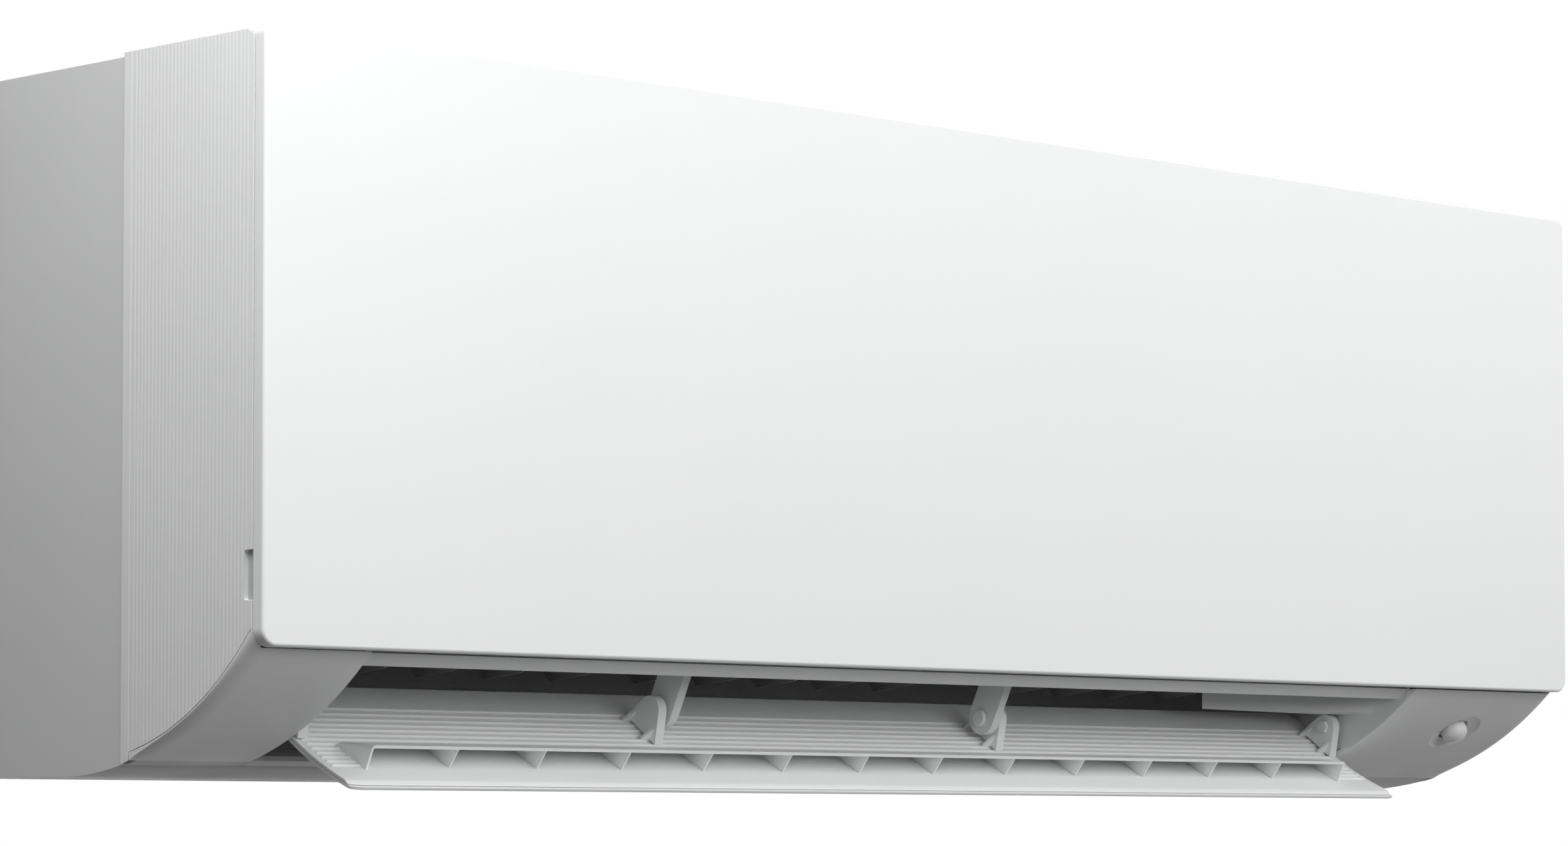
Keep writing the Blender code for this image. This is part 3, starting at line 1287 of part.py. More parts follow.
def liner_section(back, front, lift):
    """The ribbed inner layer, whose front end slopes to the flap's nose."""
    end = flap_length() - FLAP_NOSE - front
    outer = [(back + (end + FLAP_NOSE / 2 - back) * i / 14, lift) for i in range(15)]
    face = lift + FLAP_LINER
    inner = [(back, face)]
    for i in range(FLAP_RIB_COUNT):
        middle = FLAP_RIB_MARGIN + FLAP_RIB_PITCH * i + FLAP_BACK_CORNER / 4
        inner.append((middle - FLAP_RIB_WIDTH, face))
        inner.append((middle - FLAP_RIB_WIDTH / 3, face + FLAP_RIB_HEIGHT))
        inner.append((middle + FLAP_RIB_WIDTH / 3, face + FLAP_RIB_HEIGHT))
        inner.append((middle + FLAP_RIB_WIDTH, face))
    inner = [(max(run, back + k * 1e-5), height) for k, (run, height) in enumerate(inner)]
    inner.append((end, face))
    return outer + inner[::-1]


def flap_top():
    """Lift of the tops of the flap's ribs over the profile."""
    return FLAP_SKIN + SEAT_GAP + FLAP_LINER + FLAP_RIB_HEIGHT


def flap_wing():
    root = flap_top() + SEAT_GAP
    slope = WING_RISE / WING_REACH
    plate = [
        (WING_ROOT, root),
        (WING_ROOT + WING_REACH, root + WING_RISE - WING_THICKNESS),
        (WING_ROOT + WING_REACH, root + WING_RISE),
        (WING_ROOT + WING_REACH / 2, root + WING_RISE / 2 + WING_THICKNESS * 1.3),
        (WING_ROOT, root + WING_THICKNESS),
    ]
    pivot = world(WIDTH / 2, *FLAP_PIVOT)
    solid = across_flap(plate, WING_LEFT, WING_RIGHT)
    piece = make("flap_wing", [solid], WHITE, pivot)
    web = [
        (WING_ROOT + 0.002, root),
        (WING_ROOT + WING_REACH - 0.001, root),
        (WING_ROOT + WING_REACH - 0.0004, root + WING_RISE - WING_THICKNESS / 2),
        (WING_ROOT + 0.002, root + 0.002 * slope + WING_THICKNESS / 3),
    ]
    webs = []
    for i in range(GUSSET_COUNT):
        x = WING_RIGHT - i * GUSSET_PITCH - GUSSET_THICKNESS
        webs.append(across_flap(web, x - 0.0002, x + GUSSET_THICKNESS - 0.0002))
    webs.append(across_flap(web, WING_LEFT + 0.0002, WING_LEFT + GUSSET_THICKNESS))
    combine(piece, webs, "UNION")
    return piece


def hull_to_apex(back_foot, front_foot, lift):
    """A bracket's outline: round about the pivot, then straight to its two feet."""
    centre = Vector(FLAP_PIVOT)
    back, front = Vector(flap_point(back_foot, lift)), Vector(flap_point(front_foot, lift))
    ends = []
    for foot, side in ((back, 1), (front, -1)):
        away = foot - centre
        lean = acos(BRACKET_APEX / away.length)
        ends.append(atan2(away.y, away.x) + side * lean)
    start, end = ends
    while end < start:
        end += 2 * pi
    return [tuple(back)] + arc(FLAP_PIVOT, BRACKET_APEX, start, end, 8) + [tuple(front)]


def flap_bracket(number, left, bore_from, bore_to):
    lift = flap_top() + SEAT_GAP
    outline = [opened(p) for p in hull_to_apex(BRACKET_BACK_FOOT, BRACKET_FRONT_FOOT, lift)]
    pivot = world(WIDTH / 2, *FLAP_PIVOT)
    solid = across(outline, left, left + BRACKET_THICKNESS)
    piece = make(f"flap_bracket_{number}", [solid], WHITE, pivot)
    outward = -1 if number > 1 else 1
    face = left + 0.0005 if outward < 0 else left + BRACKET_THICKNESS - 0.0005
    for run in (BRACKET_BACK_FOOT + 0.003, BRACKET_FRONT_FOOT - BRACKET_RIB):
        rings = []
        for along in (run, run + BRACKET_RIB_THICKNESS):
            foot, top = (flap_point(along, lift), flap_point(along, lift + BRACKET_RIB))
            rings.append(
                [
                    world(face, *opened(foot)),
                    world(face + outward * BRACKET_RIB, *opened(foot)),
                    world(face + outward * 0.0006, *opened(top)),
                    world(face, *opened(top)),
                ]
            )
        join(piece, [loft(rings)])
    bore = circle(FLAP_PIVOT, PIN_RADIUS + PIN_CLEARANCE, SMALL_ROUND_SIDES)
    cut(piece, [across(bore, bore_from, bore_to)])
    return piece


def flap_hanger(number, left):
    """A fixed arm from the duct's ceiling, round at the flap's pivot."""
    up = Vector((-sin(HANGER_LEAN), cos(HANGER_LEAN)))
    side = Vector((up.y, -up.x)) * HANGER_RADIUS
    centre = Vector(FLAP_PIVOT)
    reach = up * (PAN_TOP - FLAP_PIVOT[1])
    start = atan2(side.y, side.x)
    outline = arc(FLAP_PIVOT, HANGER_RADIUS, start, start - pi, 10)
    outline += [tuple(centre - side + reach), tuple(centre + side + reach)]
    piece = make(
        f"flap_hanger_{number}", [across(outline, left, left + HANGER_THICKNESS)], OFF_WHITE
    )
    above = ceiling_line(SEAT_GAP)
    above = [(DUCT_FRONT - 2 * CUT_REACH, above[0][1])] + above
    above += [(TONGUE_DEPTH + 4 * CUT_REACH, above[-1][1]), (TONGUE_DEPTH + 4 * CUT_REACH, HEIGHT)]
    above += [(DUCT_FRONT - 2 * CUT_REACH, HEIGHT)]
    cut(piece, [across(above, left - CUT_REACH, left + HANGER_THICKNESS + CUT_REACH)])
    bore = circle(FLAP_PIVOT, PIN_RADIUS + PIN_CLEARANCE, SMALL_ROUND_SIDES)
    cut(piece, [across(bore, left - CUT_REACH, left + HANGER_THICKNESS + CUT_REACH)])
    return piece


def pin_solid(rings):
    solid_rings = []
    for x, radius in rings:
        ring = circle(FLAP_PIVOT, radius, SMALL_ROUND_SIDES)
        solid_rings.append([world(x, d, h) for d, h in ring])
    return loft(solid_rings)


def flap_pins():
    """The pins that carry the flap: one at its left end, one at each hanger, and the drive."""
    brackets, hangers = BRACKET_LEFTS, HANGER_LEFTS
    shank, head = PIN_RADIUS, PIN_HEAD_RADIUS
    left_end = brackets[0] + BRACKET_THICKNESS - PIN_CAP
    pieces = [
        make(
            "flap_pin_left",
            [pin_solid([(LEFT_CAP - DUCT_WALL, shank), (left_end, shank)])],
            WHITE,
        )
    ]
    right = hangers[0] + HANGER_THICKNESS + SEAT_GAP
    rings = [(brackets[1] + PIN_CAP + SEAT_GAP, shank), (right, shank), (right + 1e-4, head)]
    pieces.append(make("flap_pin_1", [pin_solid(rings + [(right + PIN_HEAD, head)])], WHITE))
    left = hangers[1] - SEAT_GAP
    rings = [(left - PIN_HEAD, head - 0.0006), (left - PIN_HEAD + 0.0006, head)]
    rings += [(left - 1e-4, head), (left, shank)]
    rings += [(brackets[2] + BRACKET_THICKNESS - PIN_CAP - SEAT_GAP, shank)]
    pieces.append(make("flap_pin_2", [pin_solid(rings)], WHITE))
    left = brackets[3] - SEAT_GAP
    rings = [(left - PIN_HEAD, head - 0.0006), (left - PIN_HEAD + 0.0006, head)]
    rings += [(left - 1e-4, head), (left, shank), (motor_left() + 0.006, shank)]
    pivot = world(WIDTH / 2, *FLAP_PIVOT)
    pieces.append(make("flap_drive_shaft", [pin_solid(rings)], WHITE, pivot))
    return pieces


def flap_motor():
    left = motor_left()
    body = circle(FLAP_PIVOT, FLAP_MOTOR_RADIUS, 20)
    piece = make("flap_motor", [across(body, left, left + FLAP_MOTOR_LENGTH)], STEEL)
    bore = circle(FLAP_PIVOT, PIN_RADIUS + PIN_CLEARANCE, SMALL_ROUND_SIDES)
    cut(piece, [across(bore, left - CUT_REACH, left + 0.008)])
    return piece


def vane_motor():
    """The vanes' stepper, on the drain pan's floor above the vanes at its right end."""
    d = 0.046
    low = ceiling_height(d + VANE_MOTOR_RADIUS) + DUCT_SHEET + SEAT_GAP
    x = OUTLET_RIGHT - VANE_MOTOR_RADIUS - 2 * SEAT_GAP
    body = circle((x, d), VANE_MOTOR_RADIUS, 20)
    return make("vane_motor", [upright(body, low, low + VANE_MOTOR_LENGTH)], STEEL)


# Electrical side

def box_left():
    return PARTITION_LEFTS[1] + PARTITION_WALL + SEAT_GAP


def electrical_box():
    left = box_left()
    outline = rectangle(left, BOX_LOW, left + BOX_WIDTH, BOX_HIGH)
    piece = make("electrical_box", [facing(outline, BOX_FRONT, BOX_BACK)], OFF_WHITE)
    inner = rectangle(
        left + BOX_WALL, BOX_LOW + BOX_WALL, left + BOX_WIDTH - BOX_WALL, BOX_HIGH - BOX_WALL
    )
    cut(piece, [facing(inner, BOX_FRONT - CUT_REACH, BOX_BACK - BOX_WALL)])
    return piece


def control_board():
    left = box_left() + BOX_WALL + SEAT_GAP
    right = box_left() + BOX_WIDTH - BOX_WALL - SEAT_GAP
    back = BOX_BACK - BOX_WALL - BOARD_STAND_OFF
    front = back - BOARD_THICKNESS
    low = BOX_LOW + BOX_WALL + TERMINAL_HEIGHT + 4 * BOX_WALL
    sheet = rectangle(left, low, right, BOX_HIGH - BOX_WALL - SEAT_GAP)
    piece = make("control_board", [facing(sheet, front, back)], BOARD_GREEN)
    parts = []
    for x, h, wide, tall, reach in CONTROL_BLOCKS:
        block = rectangle(left + x, low + h, left + x + wide, low + h + tall)
        parts.append(facing(block, front - reach, front + BOARD_THICKNESS / 2))
    for x, h in CONTROL_CANS:
        can = circle((left + x, low + h), CONTROL_CAN_RADIUS, SMALL_ROUND_SIDES)
        parts.append(facing(can, front - CONTROL_CAN_LENGTH, front + BOARD_THICKNESS / 2))
    combine(piece, parts, "UNION")
    return piece


def terminal_block():
    left = box_left() + (BOX_WIDTH - TERMINAL_WIDTH) / 2
    low = BOX_LOW + BOX_WALL + SEAT_GAP
    back = BOX_BACK - BOX_WALL - SEAT_GAP
    outline = rectangle(left, low, left + TERMINAL_WIDTH, low + TERMINAL_HEIGHT)
    piece = make("terminal_block", [facing(outline, back - TERMINAL_DEPTH, back)], DARK)
    wells = []
    pitch = TERMINAL_WIDTH / TERMINAL_WAYS
    for i in range(TERMINAL_WAYS):
        well = rectangle(
            left + (i + 0.2) * pitch, low + 0.004, left + (i + 0.8) * pitch, low + 0.014
        )
        wells.append(facing(well, back - TERMINAL_DEPTH - CUT_REACH, back - TERMINAL_DEPTH / 2))
    cut(piece, wells)
    return piece


def receiver_board():
    """The signal receiver, on the frame behind the panel."""
    back = FRAME_FRONT - SEAT_GAP
    sheet = rectangle(
        RECEIVER_LEFT,
        RECEIVER_LEVEL,
        RECEIVER_LEFT + RECEIVER_WIDTH,
        RECEIVER_LEVEL + RECEIVER_HEIGHT,
    )
    piece = make("receiver_board", [facing(sheet, back - BOARD_THICKNESS, back)], BOARD_GREEN)
    eye = circle(
        (RECEIVER_LEFT + RECEIVER_WIDTH / 4, RECEIVER_LEVEL + RECEIVER_HEIGHT / 2),
        0.0035,
        SMALL_ROUND_SIDES,
    )
    join(piece, [facing(eye, PANEL_SKIN + 2 * SEAT_GAP, back - BOARD_THICKNESS / 2)])
    return piece


def manual_button():
    front = FRAME_FRONT - BUTTON_PROUD
    back = FRAME_FRONT + FRAME_THICKNESS + SEAT_GAP
    place = (BUTTON_X, BUTTON_HEIGHT)
    rings = []
    for d, radius in (
        (front, BUTTON_RADIUS),
        (back, BUTTON_RADIUS),
        (back + 1e-4, BUTTON_FLANGE),
        (back + BUTTON_FLANGE_THICKNESS, BUTTON_FLANGE),
    ):
        ring = circle(place, radius, SMALL_ROUND_SIDES)
        rings.append([world(x, d, h) for x, h in ring])
    return make("manual_button", [loft(rings)], GREY, world(BUTTON_X, front, BUTTON_HEIGHT))


def build_unit():
    clear_scene()
    front_panel()
    side_cover("left_side_cover", False)
    side_cover("right_side_cover", True)
    outlet_surround()
    sensor_dome()
    rear_chassis()
    mounting_plate()
    top_grille()
    front_frame()
    for name, left in zip(("filter_left", "filter_right"), filter_lefts()):
        air_filter(name, left)
    exchanger_slab("evaporator_front", FRONT_SLAB)
    exchanger_slab("evaporator_top", TOP_SLAB)
    exchanger_slab("evaporator_rear", REAR_SLAB)
    end_sheet("evaporator_end_left", SLAB_LEFT - SEAT_GAP, -1)
    end_sheet("evaporator_end_right", SLAB_LEFT + SLAB_LENGTH + SEAT_GAP, 1)
    cross_flow_fan()
    fan_axle()
    motor_shaft()
    fan_bearing()
    fan_motor()
    outlet_duct()
    for number, x in enumerate(vane_places(), 1):
        vane(number, x)
    for number, (first, count) in enumerate(VANE_SECTIONS, 1):
        vane_link(number, first, count)
    flap_shell("flap_outer", 0.0, skin_section, WHITE)
    flap_shell("flap_inner", FLAP_SKIN + SEAT_GAP, liner_section, WHITE)
    flap_wing()
    bores = (
        (BRACKET_LEFTS[0] - CUT_REACH, BRACKET_LEFTS[0] + BRACKET_THICKNESS - PIN_CAP / 2),
        (BRACKET_LEFTS[1] + PIN_CAP, BRACKET_LEFTS[1] + BRACKET_THICKNESS + CUT_REACH),
        (BRACKET_LEFTS[2] - CUT_REACH, BRACKET_LEFTS[2] + BRACKET_THICKNESS - PIN_CAP),
        (BRACKET_LEFTS[3] - CUT_REACH, BRACKET_LEFTS[3] + BRACKET_THICKNESS + CUT_REACH),
    )
    for number, (left, bore) in enumerate(zip(BRACKET_LEFTS, bores), 1):
        flap_bracket(number, left, *bore)
    for number, left in enumerate(HANGER_LEFTS, 1):
        flap_hanger(number, left)
    flap_pins()
    flap_motor()
    vane_motor()
    electrical_box()
    control_board()
    terminal_block()
    receiver_board()
    manual_button()


build_unit()
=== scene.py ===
"""Indoor unit of a wall-mounted split air conditioner, dressed for close views.

Places are measured from the left side of the casing (x), back from the face of the front panel
(d) and up from the casing's bottom (h), in metres, and place() turns them into the scene's own.
"""

import json
from math import acos, asin, atan2, cos, pi, radians, sin, sqrt

import bpy
from bpy.props import FloatProperty, FloatVectorProperty, IntProperty, PointerProperty
from mathutils import Matrix, Vector

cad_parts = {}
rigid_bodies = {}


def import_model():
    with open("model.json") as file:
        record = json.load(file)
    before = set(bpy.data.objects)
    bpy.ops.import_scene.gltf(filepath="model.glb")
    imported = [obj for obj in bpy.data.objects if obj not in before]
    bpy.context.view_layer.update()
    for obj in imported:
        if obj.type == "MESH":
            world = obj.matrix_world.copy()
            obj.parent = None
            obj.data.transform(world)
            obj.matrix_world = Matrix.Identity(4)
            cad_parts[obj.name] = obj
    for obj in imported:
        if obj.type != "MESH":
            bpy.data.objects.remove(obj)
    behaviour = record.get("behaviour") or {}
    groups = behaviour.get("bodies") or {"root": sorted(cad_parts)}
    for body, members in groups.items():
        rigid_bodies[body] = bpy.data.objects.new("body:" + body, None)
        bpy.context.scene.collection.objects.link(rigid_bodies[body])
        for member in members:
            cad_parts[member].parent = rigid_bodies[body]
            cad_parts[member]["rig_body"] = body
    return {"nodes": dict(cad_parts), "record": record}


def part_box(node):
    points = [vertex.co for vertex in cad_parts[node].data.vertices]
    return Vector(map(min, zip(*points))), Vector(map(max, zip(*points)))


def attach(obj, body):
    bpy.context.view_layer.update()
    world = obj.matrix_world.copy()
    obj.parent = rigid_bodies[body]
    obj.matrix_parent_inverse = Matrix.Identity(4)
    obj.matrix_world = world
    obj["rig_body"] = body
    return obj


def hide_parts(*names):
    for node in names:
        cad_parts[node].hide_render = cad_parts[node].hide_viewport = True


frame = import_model()
SLOTS = {row["node"]: row["material_slot"] for row in frame["record"]["subparts"]}
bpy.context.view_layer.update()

bl_info = {
    "name": "Split air conditioner, indoor unit",
    "version": (1, 0, 0),
    "blender": (4, 5, 0),
    "location": "View3D > Sidebar > Indoor Unit",
    "description": "Builds the dressed indoor unit of a split air conditioner over its solids",
    "category": "Object",
}

# Casing
WIDTH = 0.865
HEIGHT = 0.2985
DEPTH = 0.205
PLATE_CENTRE_HEIGHT = 0.150
CASING_WALL = 0.0026
SIDE_FRONT = 0.0084
COVER_TOP = 0.2969
BEAD_FRONT = 0.087325
BEAD_BACK = 0.093425
HINGE_POINT = (0.011, 0.292)
PANEL_OPEN_ANGLE = radians(60.0)
RIB_HEIGHT = 0.0001

# Front panel
PANEL_BOTTOM = 0.0505
PANEL_THICKNESS = 0.0066
PANEL_SKIN = 0.0024
PANEL_RIM = 0.0025
PANEL_EDGE_RADIUS = 0.0014
PANEL_TOP_RADIUS = 0.005
PANEL_LOW_RADIUS = 0.007

# Lower profile, seam and outlet
PROFILE_CENTRE = (0.136, 0.190)
PROFILE_RADIUS = 0.190
SEAM_CENTRE_RADIUS = 0.148
SEAM_ENDS = ((0.0073, 0.0580), (BEAD_FRONT, 0.0097))
LEFT_CAP = 0.062
OUTLET_RIGHT = 0.7475
CHEEK_SWEEP = 0.105
CHEEK_LOW = 0.0377

# Flap
FLAP_PIVOT = (0.0605, 0.0315)
FLAP_OPEN_ANGLE = radians(61.8)
FLAP_BACK_DEPTH = 0.0786
FLAP_FRONT_DEPTH = 0.0092
FLAP_LEFT = LEFT_CAP + 0.001
FLAP_RIGHT = OUTLET_RIGHT - 0.001
FLAP_RIB_FIRST = 0.0146
FLAP_RIB_PITCH = 0.00382
FLAP_FLOOR = 0.00265
FLAP_TOP = 0.0035
WING_LEFT = 0.082
WING_RIGHT = OUTLET_RIGHT - 0.028
WING_ROOT = 0.0430
WING_REACH = 0.0210
WING_RISE = 0.0101
WING_THICKNESS = 0.0014
WING_CORNER = 0.002
GUSSET_THICKNESS = 0.0007
GUSSET_MARGIN = 0.0482

# Gaps, sensor, filter nets and fins
SEAM_GAP = 0.0003
WELD_DISTANCE = 1e-5
SENSOR_PLACE = (0.8155, 0.035)
DOME_RADIUS = 0.0068
DOME_RISE = DOME_RADIUS * 0.75
DOME_TOP = 0.0045
NET_PITCH = 0.0016
NET_WIRE = 0.00018
NET_MARGIN = 0.004
FIN_PITCH = 0.002
FIN_THICKNESS = 0.0003

# Floor and camera
FLOOR_HEIGHT = -1.3
CAMERA_PLACE = (-1.5937, -1.6706, -0.1733)
CAMERA_LEVEL = (0.7034, 0.7108)
CAMERA_RISE = radians(2.5)
CAMERA_SHIFT = 0.1304


class PanelSettings(bpy.types.PropertyGroup):
    """Front panel."""

    edge_radius: FloatProperty(
        name="Edge radius",
        description="Rounding of the panel's front edge",
        default=PANEL_EDGE_RADIUS, min=0.0004, max=0.002, subtype="DISTANCE", unit="LENGTH",
    )
    colour: FloatVectorProperty(
        name="Colour",
        description="White of the panel and the outer mouldings",
        default=(0.93, 0.935, 0.935), size=3, min=0.0, max=1.0, subtype="COLOR",
    )


class CoverSettings(bpy.types.PropertyGroup):
    """Ribbed side covers."""

    rib_count: IntProperty(
        name="Ribs",
        description="Number of upright ribs on a side cover",
        default=33, min=5, max=60,
    )
    rib_pitch: FloatProperty(
        name="Rib pitch",
        description="Distance between two ribs",
        default=0.00237, min=0.001, max=0.01, subtype="DISTANCE", unit="LENGTH",
    )


class FlapSettings(bpy.types.PropertyGroup):
    """Outlet flap."""

    rib_count: IntProperty(
        name="Ribs",
        description="Number of long ribs on the flap's inner face",
        default=13, min=3, max=30,
    )
    gusset_count: IntProperty(
        name="Gussets",
        description="Number of gussets under the wing",
        default=13, min=3, max=30,
    )


class StageSettings(bpy.types.PropertyGroup):
    """Light and camera."""

    key_power: FloatProperty(
        name="Key light",
        description="Power of the large soft light straight in front",
        default=7.4, min=0.0, max=200.0, unit="POWER",
    )
    lens: FloatProperty(
        name="Lens",
        description="Focal length of the camera",
        default=108.3, min=20.0, max=300.0, subtype="DISTANCE_CAMERA",
    )


SETTINGS = {
    "unit_panel": PanelSettings,
    "unit_covers": CoverSettings,
    "unit_flap": FlapSettings,
    "unit_stage": StageSettings,
}


def place(x, d, h):
    return Vector((x - WIDTH / 2, d - DEPTH, h - PLATE_CENTRE_HEIGHT))


def turns(steps, whole=pi / 2):
    return [whole * i / steps for i in range(steps + 1)]


def arc(centre, radius, start, end, steps):
    angles = [start + turn for turn in turns(steps, end - start)]
    return [(centre[0] + radius * cos(t), centre[1] + radius * sin(t)) for t in angles]


def circle(centre, radius, sides=32):
    return arc(centre, radius, 0, 2 * pi, sides)[:-1]


def profile_height(d, radius=PROFILE_RADIUS):
    return PROFILE_CENTRE[1] - sqrt(radius**2 - (PROFILE_CENTRE[0] - d) ** 2)


def profile_depth(h, radius=PROFILE_RADIUS):
    return PROFILE_CENTRE[0] - sqrt(radius**2 - (PROFILE_CENTRE[1] - h) ** 2)


def lean(d, centre=PROFILE_CENTRE, radius=PROFILE_RADIUS):
    """How far round a circle a depth lies, from the circle's lowest point."""
    return asin((centre[0] - d) / radius)


def low_arc(centre, radius, start_depth, end_depth, steps=40):
    """An arc along the bottom of a circle, from one depth to another."""
    start, end = (lean(d, centre, radius) for d in (start_depth, end_depth))
    return arc(centre, radius, -pi / 2 - start, -pi / 2 - end, steps)


def seam_centre():
    first, last = Vector(SEAM_ENDS[0]), Vector(SEAM_ENDS[1])
    chord = last - first
    away = Vector((-chord.y, chord.x)).normalized()
    rise = sqrt(SEAM_CENTRE_RADIUS**2 - (chord.length / 2) ** 2)
    return tuple((first + last) / 2 + away * rise)


SEAM_CENTRE = seam_centre()


def seam_height(d):
    radius = SEAM_CENTRE_RADIUS - SEAM_GAP
    return SEAM_CENTRE[1] - sqrt(radius**2 - (SEAM_CENTRE[0] - d) ** 2)


def rectangle(low_a, low_b, high_a, high_b):
    return [(low_a, low_b), (high_a, low_b), (high_a, high_b), (low_a, high_b)]


def rounded(outline, radii, steps=8):
    """An outline with each corner turned into an arc of its own radius."""
    result = []
    for i, radius in enumerate(radii):
        corner = Vector(outline[i])
        before = (Vector(outline[i - 1]) - corner).normalized()
        after = (Vector(outline[(i + 1) % len(outline)]) - corner).normalized()
        if radius <= 0:
            result.append(tuple(corner))
            continue
        half = acos(max(-1.0, min(1.0, before.dot(after)))) / 2
        centre = corner + (before + after).normalized() * (radius / sin(half))
        start = corner + before * (radius / (sin(half) / cos(half)))
        sweep = pi - 2 * half
        side = before.x * after.y - before.y * after.x
        turn = -sweep if side > 0 else sweep
        for k in range(steps + 1):
            spin = Matrix.Rotation(-turn * k / steps, 2)
            result.append(tuple(centre + (start - centre) @ spin))
    return result


def loft(rings):
    """A closed solid through rings of equally many points, filled at its two ends."""
    count = len(rings[0])
    points = [Vector(point) for ring in rings for point in ring]
    faces = [list(range(count)), list(range(len(points) - 1, len(points) - count - 1, -1))]
    for start in range(0, len(points) - count, count):
        for i in range(count):
            j = (i + 1) % count
            faces.append([start + j, start + i, start + count + i, start + count + j])
    volume = 0.0
    for face in faces:
        for i in range(1, len(face) - 1):
            first, second, third = (points[face[k]] for k in (0, i, i + 1))
            volume += first.dot(second.cross(third))
    if volume < 0:
        faces = [face[::-1] for face in faces]
    return points, faces


def across(outline, left, right):
    return loft([[place(x, d, h) for d, h in outline] for x in (left, right)])


def upright(outline, low, high):
    return loft([[place(x, d, h) for x, d in outline] for h in (low, high)])


def facing(outline, front, back):
    return loft([[place(x, d, h) for x, h in outline] for d in (front, back)])


def box(low, high):
    """A box between two corners in the scene's own axes."""
    outline = rectangle(low.x, low.y, high.x, high.y)
    return loft([[Vector((x, y, z)) for x, y in outline] for z in (low.z, high.z)])


def turned(rings, centre, sides=32):
    """Rings of (x, radius) about an axis along x."""
    shape = [[place(x, d, h) for d, h in circle(centre, radius, sides)] for x, radius in rings]
    return loft(shape)


def added(name, data):
    piece = bpy.data.objects.new(name, data)
    bpy.context.scene.collection.objects.link(piece)
    return piece


def mesh_object(name, solids):
    points, faces = [], []
    for solid_points, solid_faces in solids:
        faces += [[len(points) + i for i in face] for face in solid_faces]
        points += solid_points
    mesh = bpy.data.meshes.new(name)
    mesh.from_pydata(points, [], faces)
    return added(name, mesh)


def baked(piece):
    """The piece as a plain mesh, with its modifiers applied and removed."""
    graph = bpy.context.evaluated_depsgraph_get()
    made = bpy.data.meshes.new_from_object(piece.evaluated_get(graph))
    piece.modifiers.clear()
    piece.data = made
    return piece


def carved(piece, solids, operation="DIFFERENCE"):
    """The piece with the solids cut away from it or joined to it."""
    tool = mesh_object(piece.name + "_tool", solids)
    modifier = piece.modifiers.new("carve", "BOOLEAN")
    modifier.operation = operation
    modifier.solver = "EXACT"
    modifier.object = tool
    baked(piece)
    bpy.data.objects.remove(tool, do_unlink=True)
    return piece


def merged(piece):
    """The piece with its double points made one and its flat faces joined."""
    weld = piece.modifiers.new("weld", "WELD")
    weld.merge_threshold = WELD_DISTANCE
    flat = piece.modifiers.new("flat", "DECIMATE")
    flat.decimate_type = "DISSOLVE"
    flat.angle_limit = radians(0.3)
    return baked(piece)


def softened(piece, width=0.0003, segments=2, angle=35):
    """Rounds the piece's edges a little and smooths what is left."""
    if width > 0:
        bevel = piece.modifiers.new("edge", "BEVEL")
        bevel.width = width
        bevel.segments = segments
        bevel.limit_method = "ANGLE"
        bevel.angle_limit = radians(angle)
        bevel.use_clamp_overlap = True
        bevel.miter_outer = "MITER_ARC"
        baked(piece)
    piece.data.shade_smooth()
    piece.data.set_sharp_from_angle(angle=radians(angle + 12))
    even = piece.modifiers.new("even", "WEIGHTED_NORMAL")
    even.keep_sharp = True
    even.weight = 80
    return baked(piece)


def set_on(piece, look, node, stands=True):
    """Gives the piece its finish and its node's body; stands says if it replaces the solid."""
    body, slot = frame["nodes"][node]["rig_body"], SLOTS[node]
    nodes = [node] if stands else []
    piece.data.materials.clear()
    piece.data.materials.append(finish(look))
    for polygon in piece.data.polygons:
        polygon.material_index = 0
    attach(piece, body)
    if nodes:
        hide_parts(*nodes)
    return piece


def built(name, solids, look, node, width=0.0, angle=35, stands=True):
    """A piece made of solids, with its edges softened, set on its node's body."""
    piece = softened(mesh_object(name, solids), width, angle=angle)
    return set_on(piece, look, node, stands)


def dressed(node, look, width=0.0003, segments=2):
    """A solid in its place, its edges softened. With a width of 0 it keeps its own triangles."""
    piece = added(node + "_moulding", frame["nodes"][node].data.copy())
    if width:
        merged(piece)
        softened(piece, width, segments)
    return set_on(piece, look, node)


# Materials

def link(tree, *wires):
    """Each wire is a source, its output, a target and its input."""
    for source, output, target, socket in wires:
        tree.links.new(source.outputs[output], target.inputs[socket])


def add_node(tree, kind, inputs=(), **settings):
    """A node with its settings, and with values for some of its inputs."""
    node = tree.nodes.new(kind)
    for name, value in settings.items():
        setattr(node, name, value)
    for socket, value in dict(inputs).items():
        node.inputs[socket].default_value = value
    return node


def noise(tree, coordinates, scale, detail, stretch=None):
    texture = add_node(tree, "ShaderNodeTexNoise", {"Scale": scale, "Detail": detail})
    source, output = coordinates, "Object"
    if stretch:
        source, output = add_node(tree, "ShaderNodeMapping", {"Scale": stretch}), "Vector"
        link(tree, (coordinates, "Object", source, "Vector"))
    link(tree, (source, output, texture, "Vector"))
    return texture


def ramped(tree, texture, low, high):
    """The middle of a noise stretched over a range."""
    span = {"From Min": 0.3, "From Max": 0.7, "To Min": low, "To Max": high}
    ramp = add_node(tree, "ShaderNodeMapRange", span)
    link(tree, (texture, "Fac", ramp, "Value"))
    return ramp


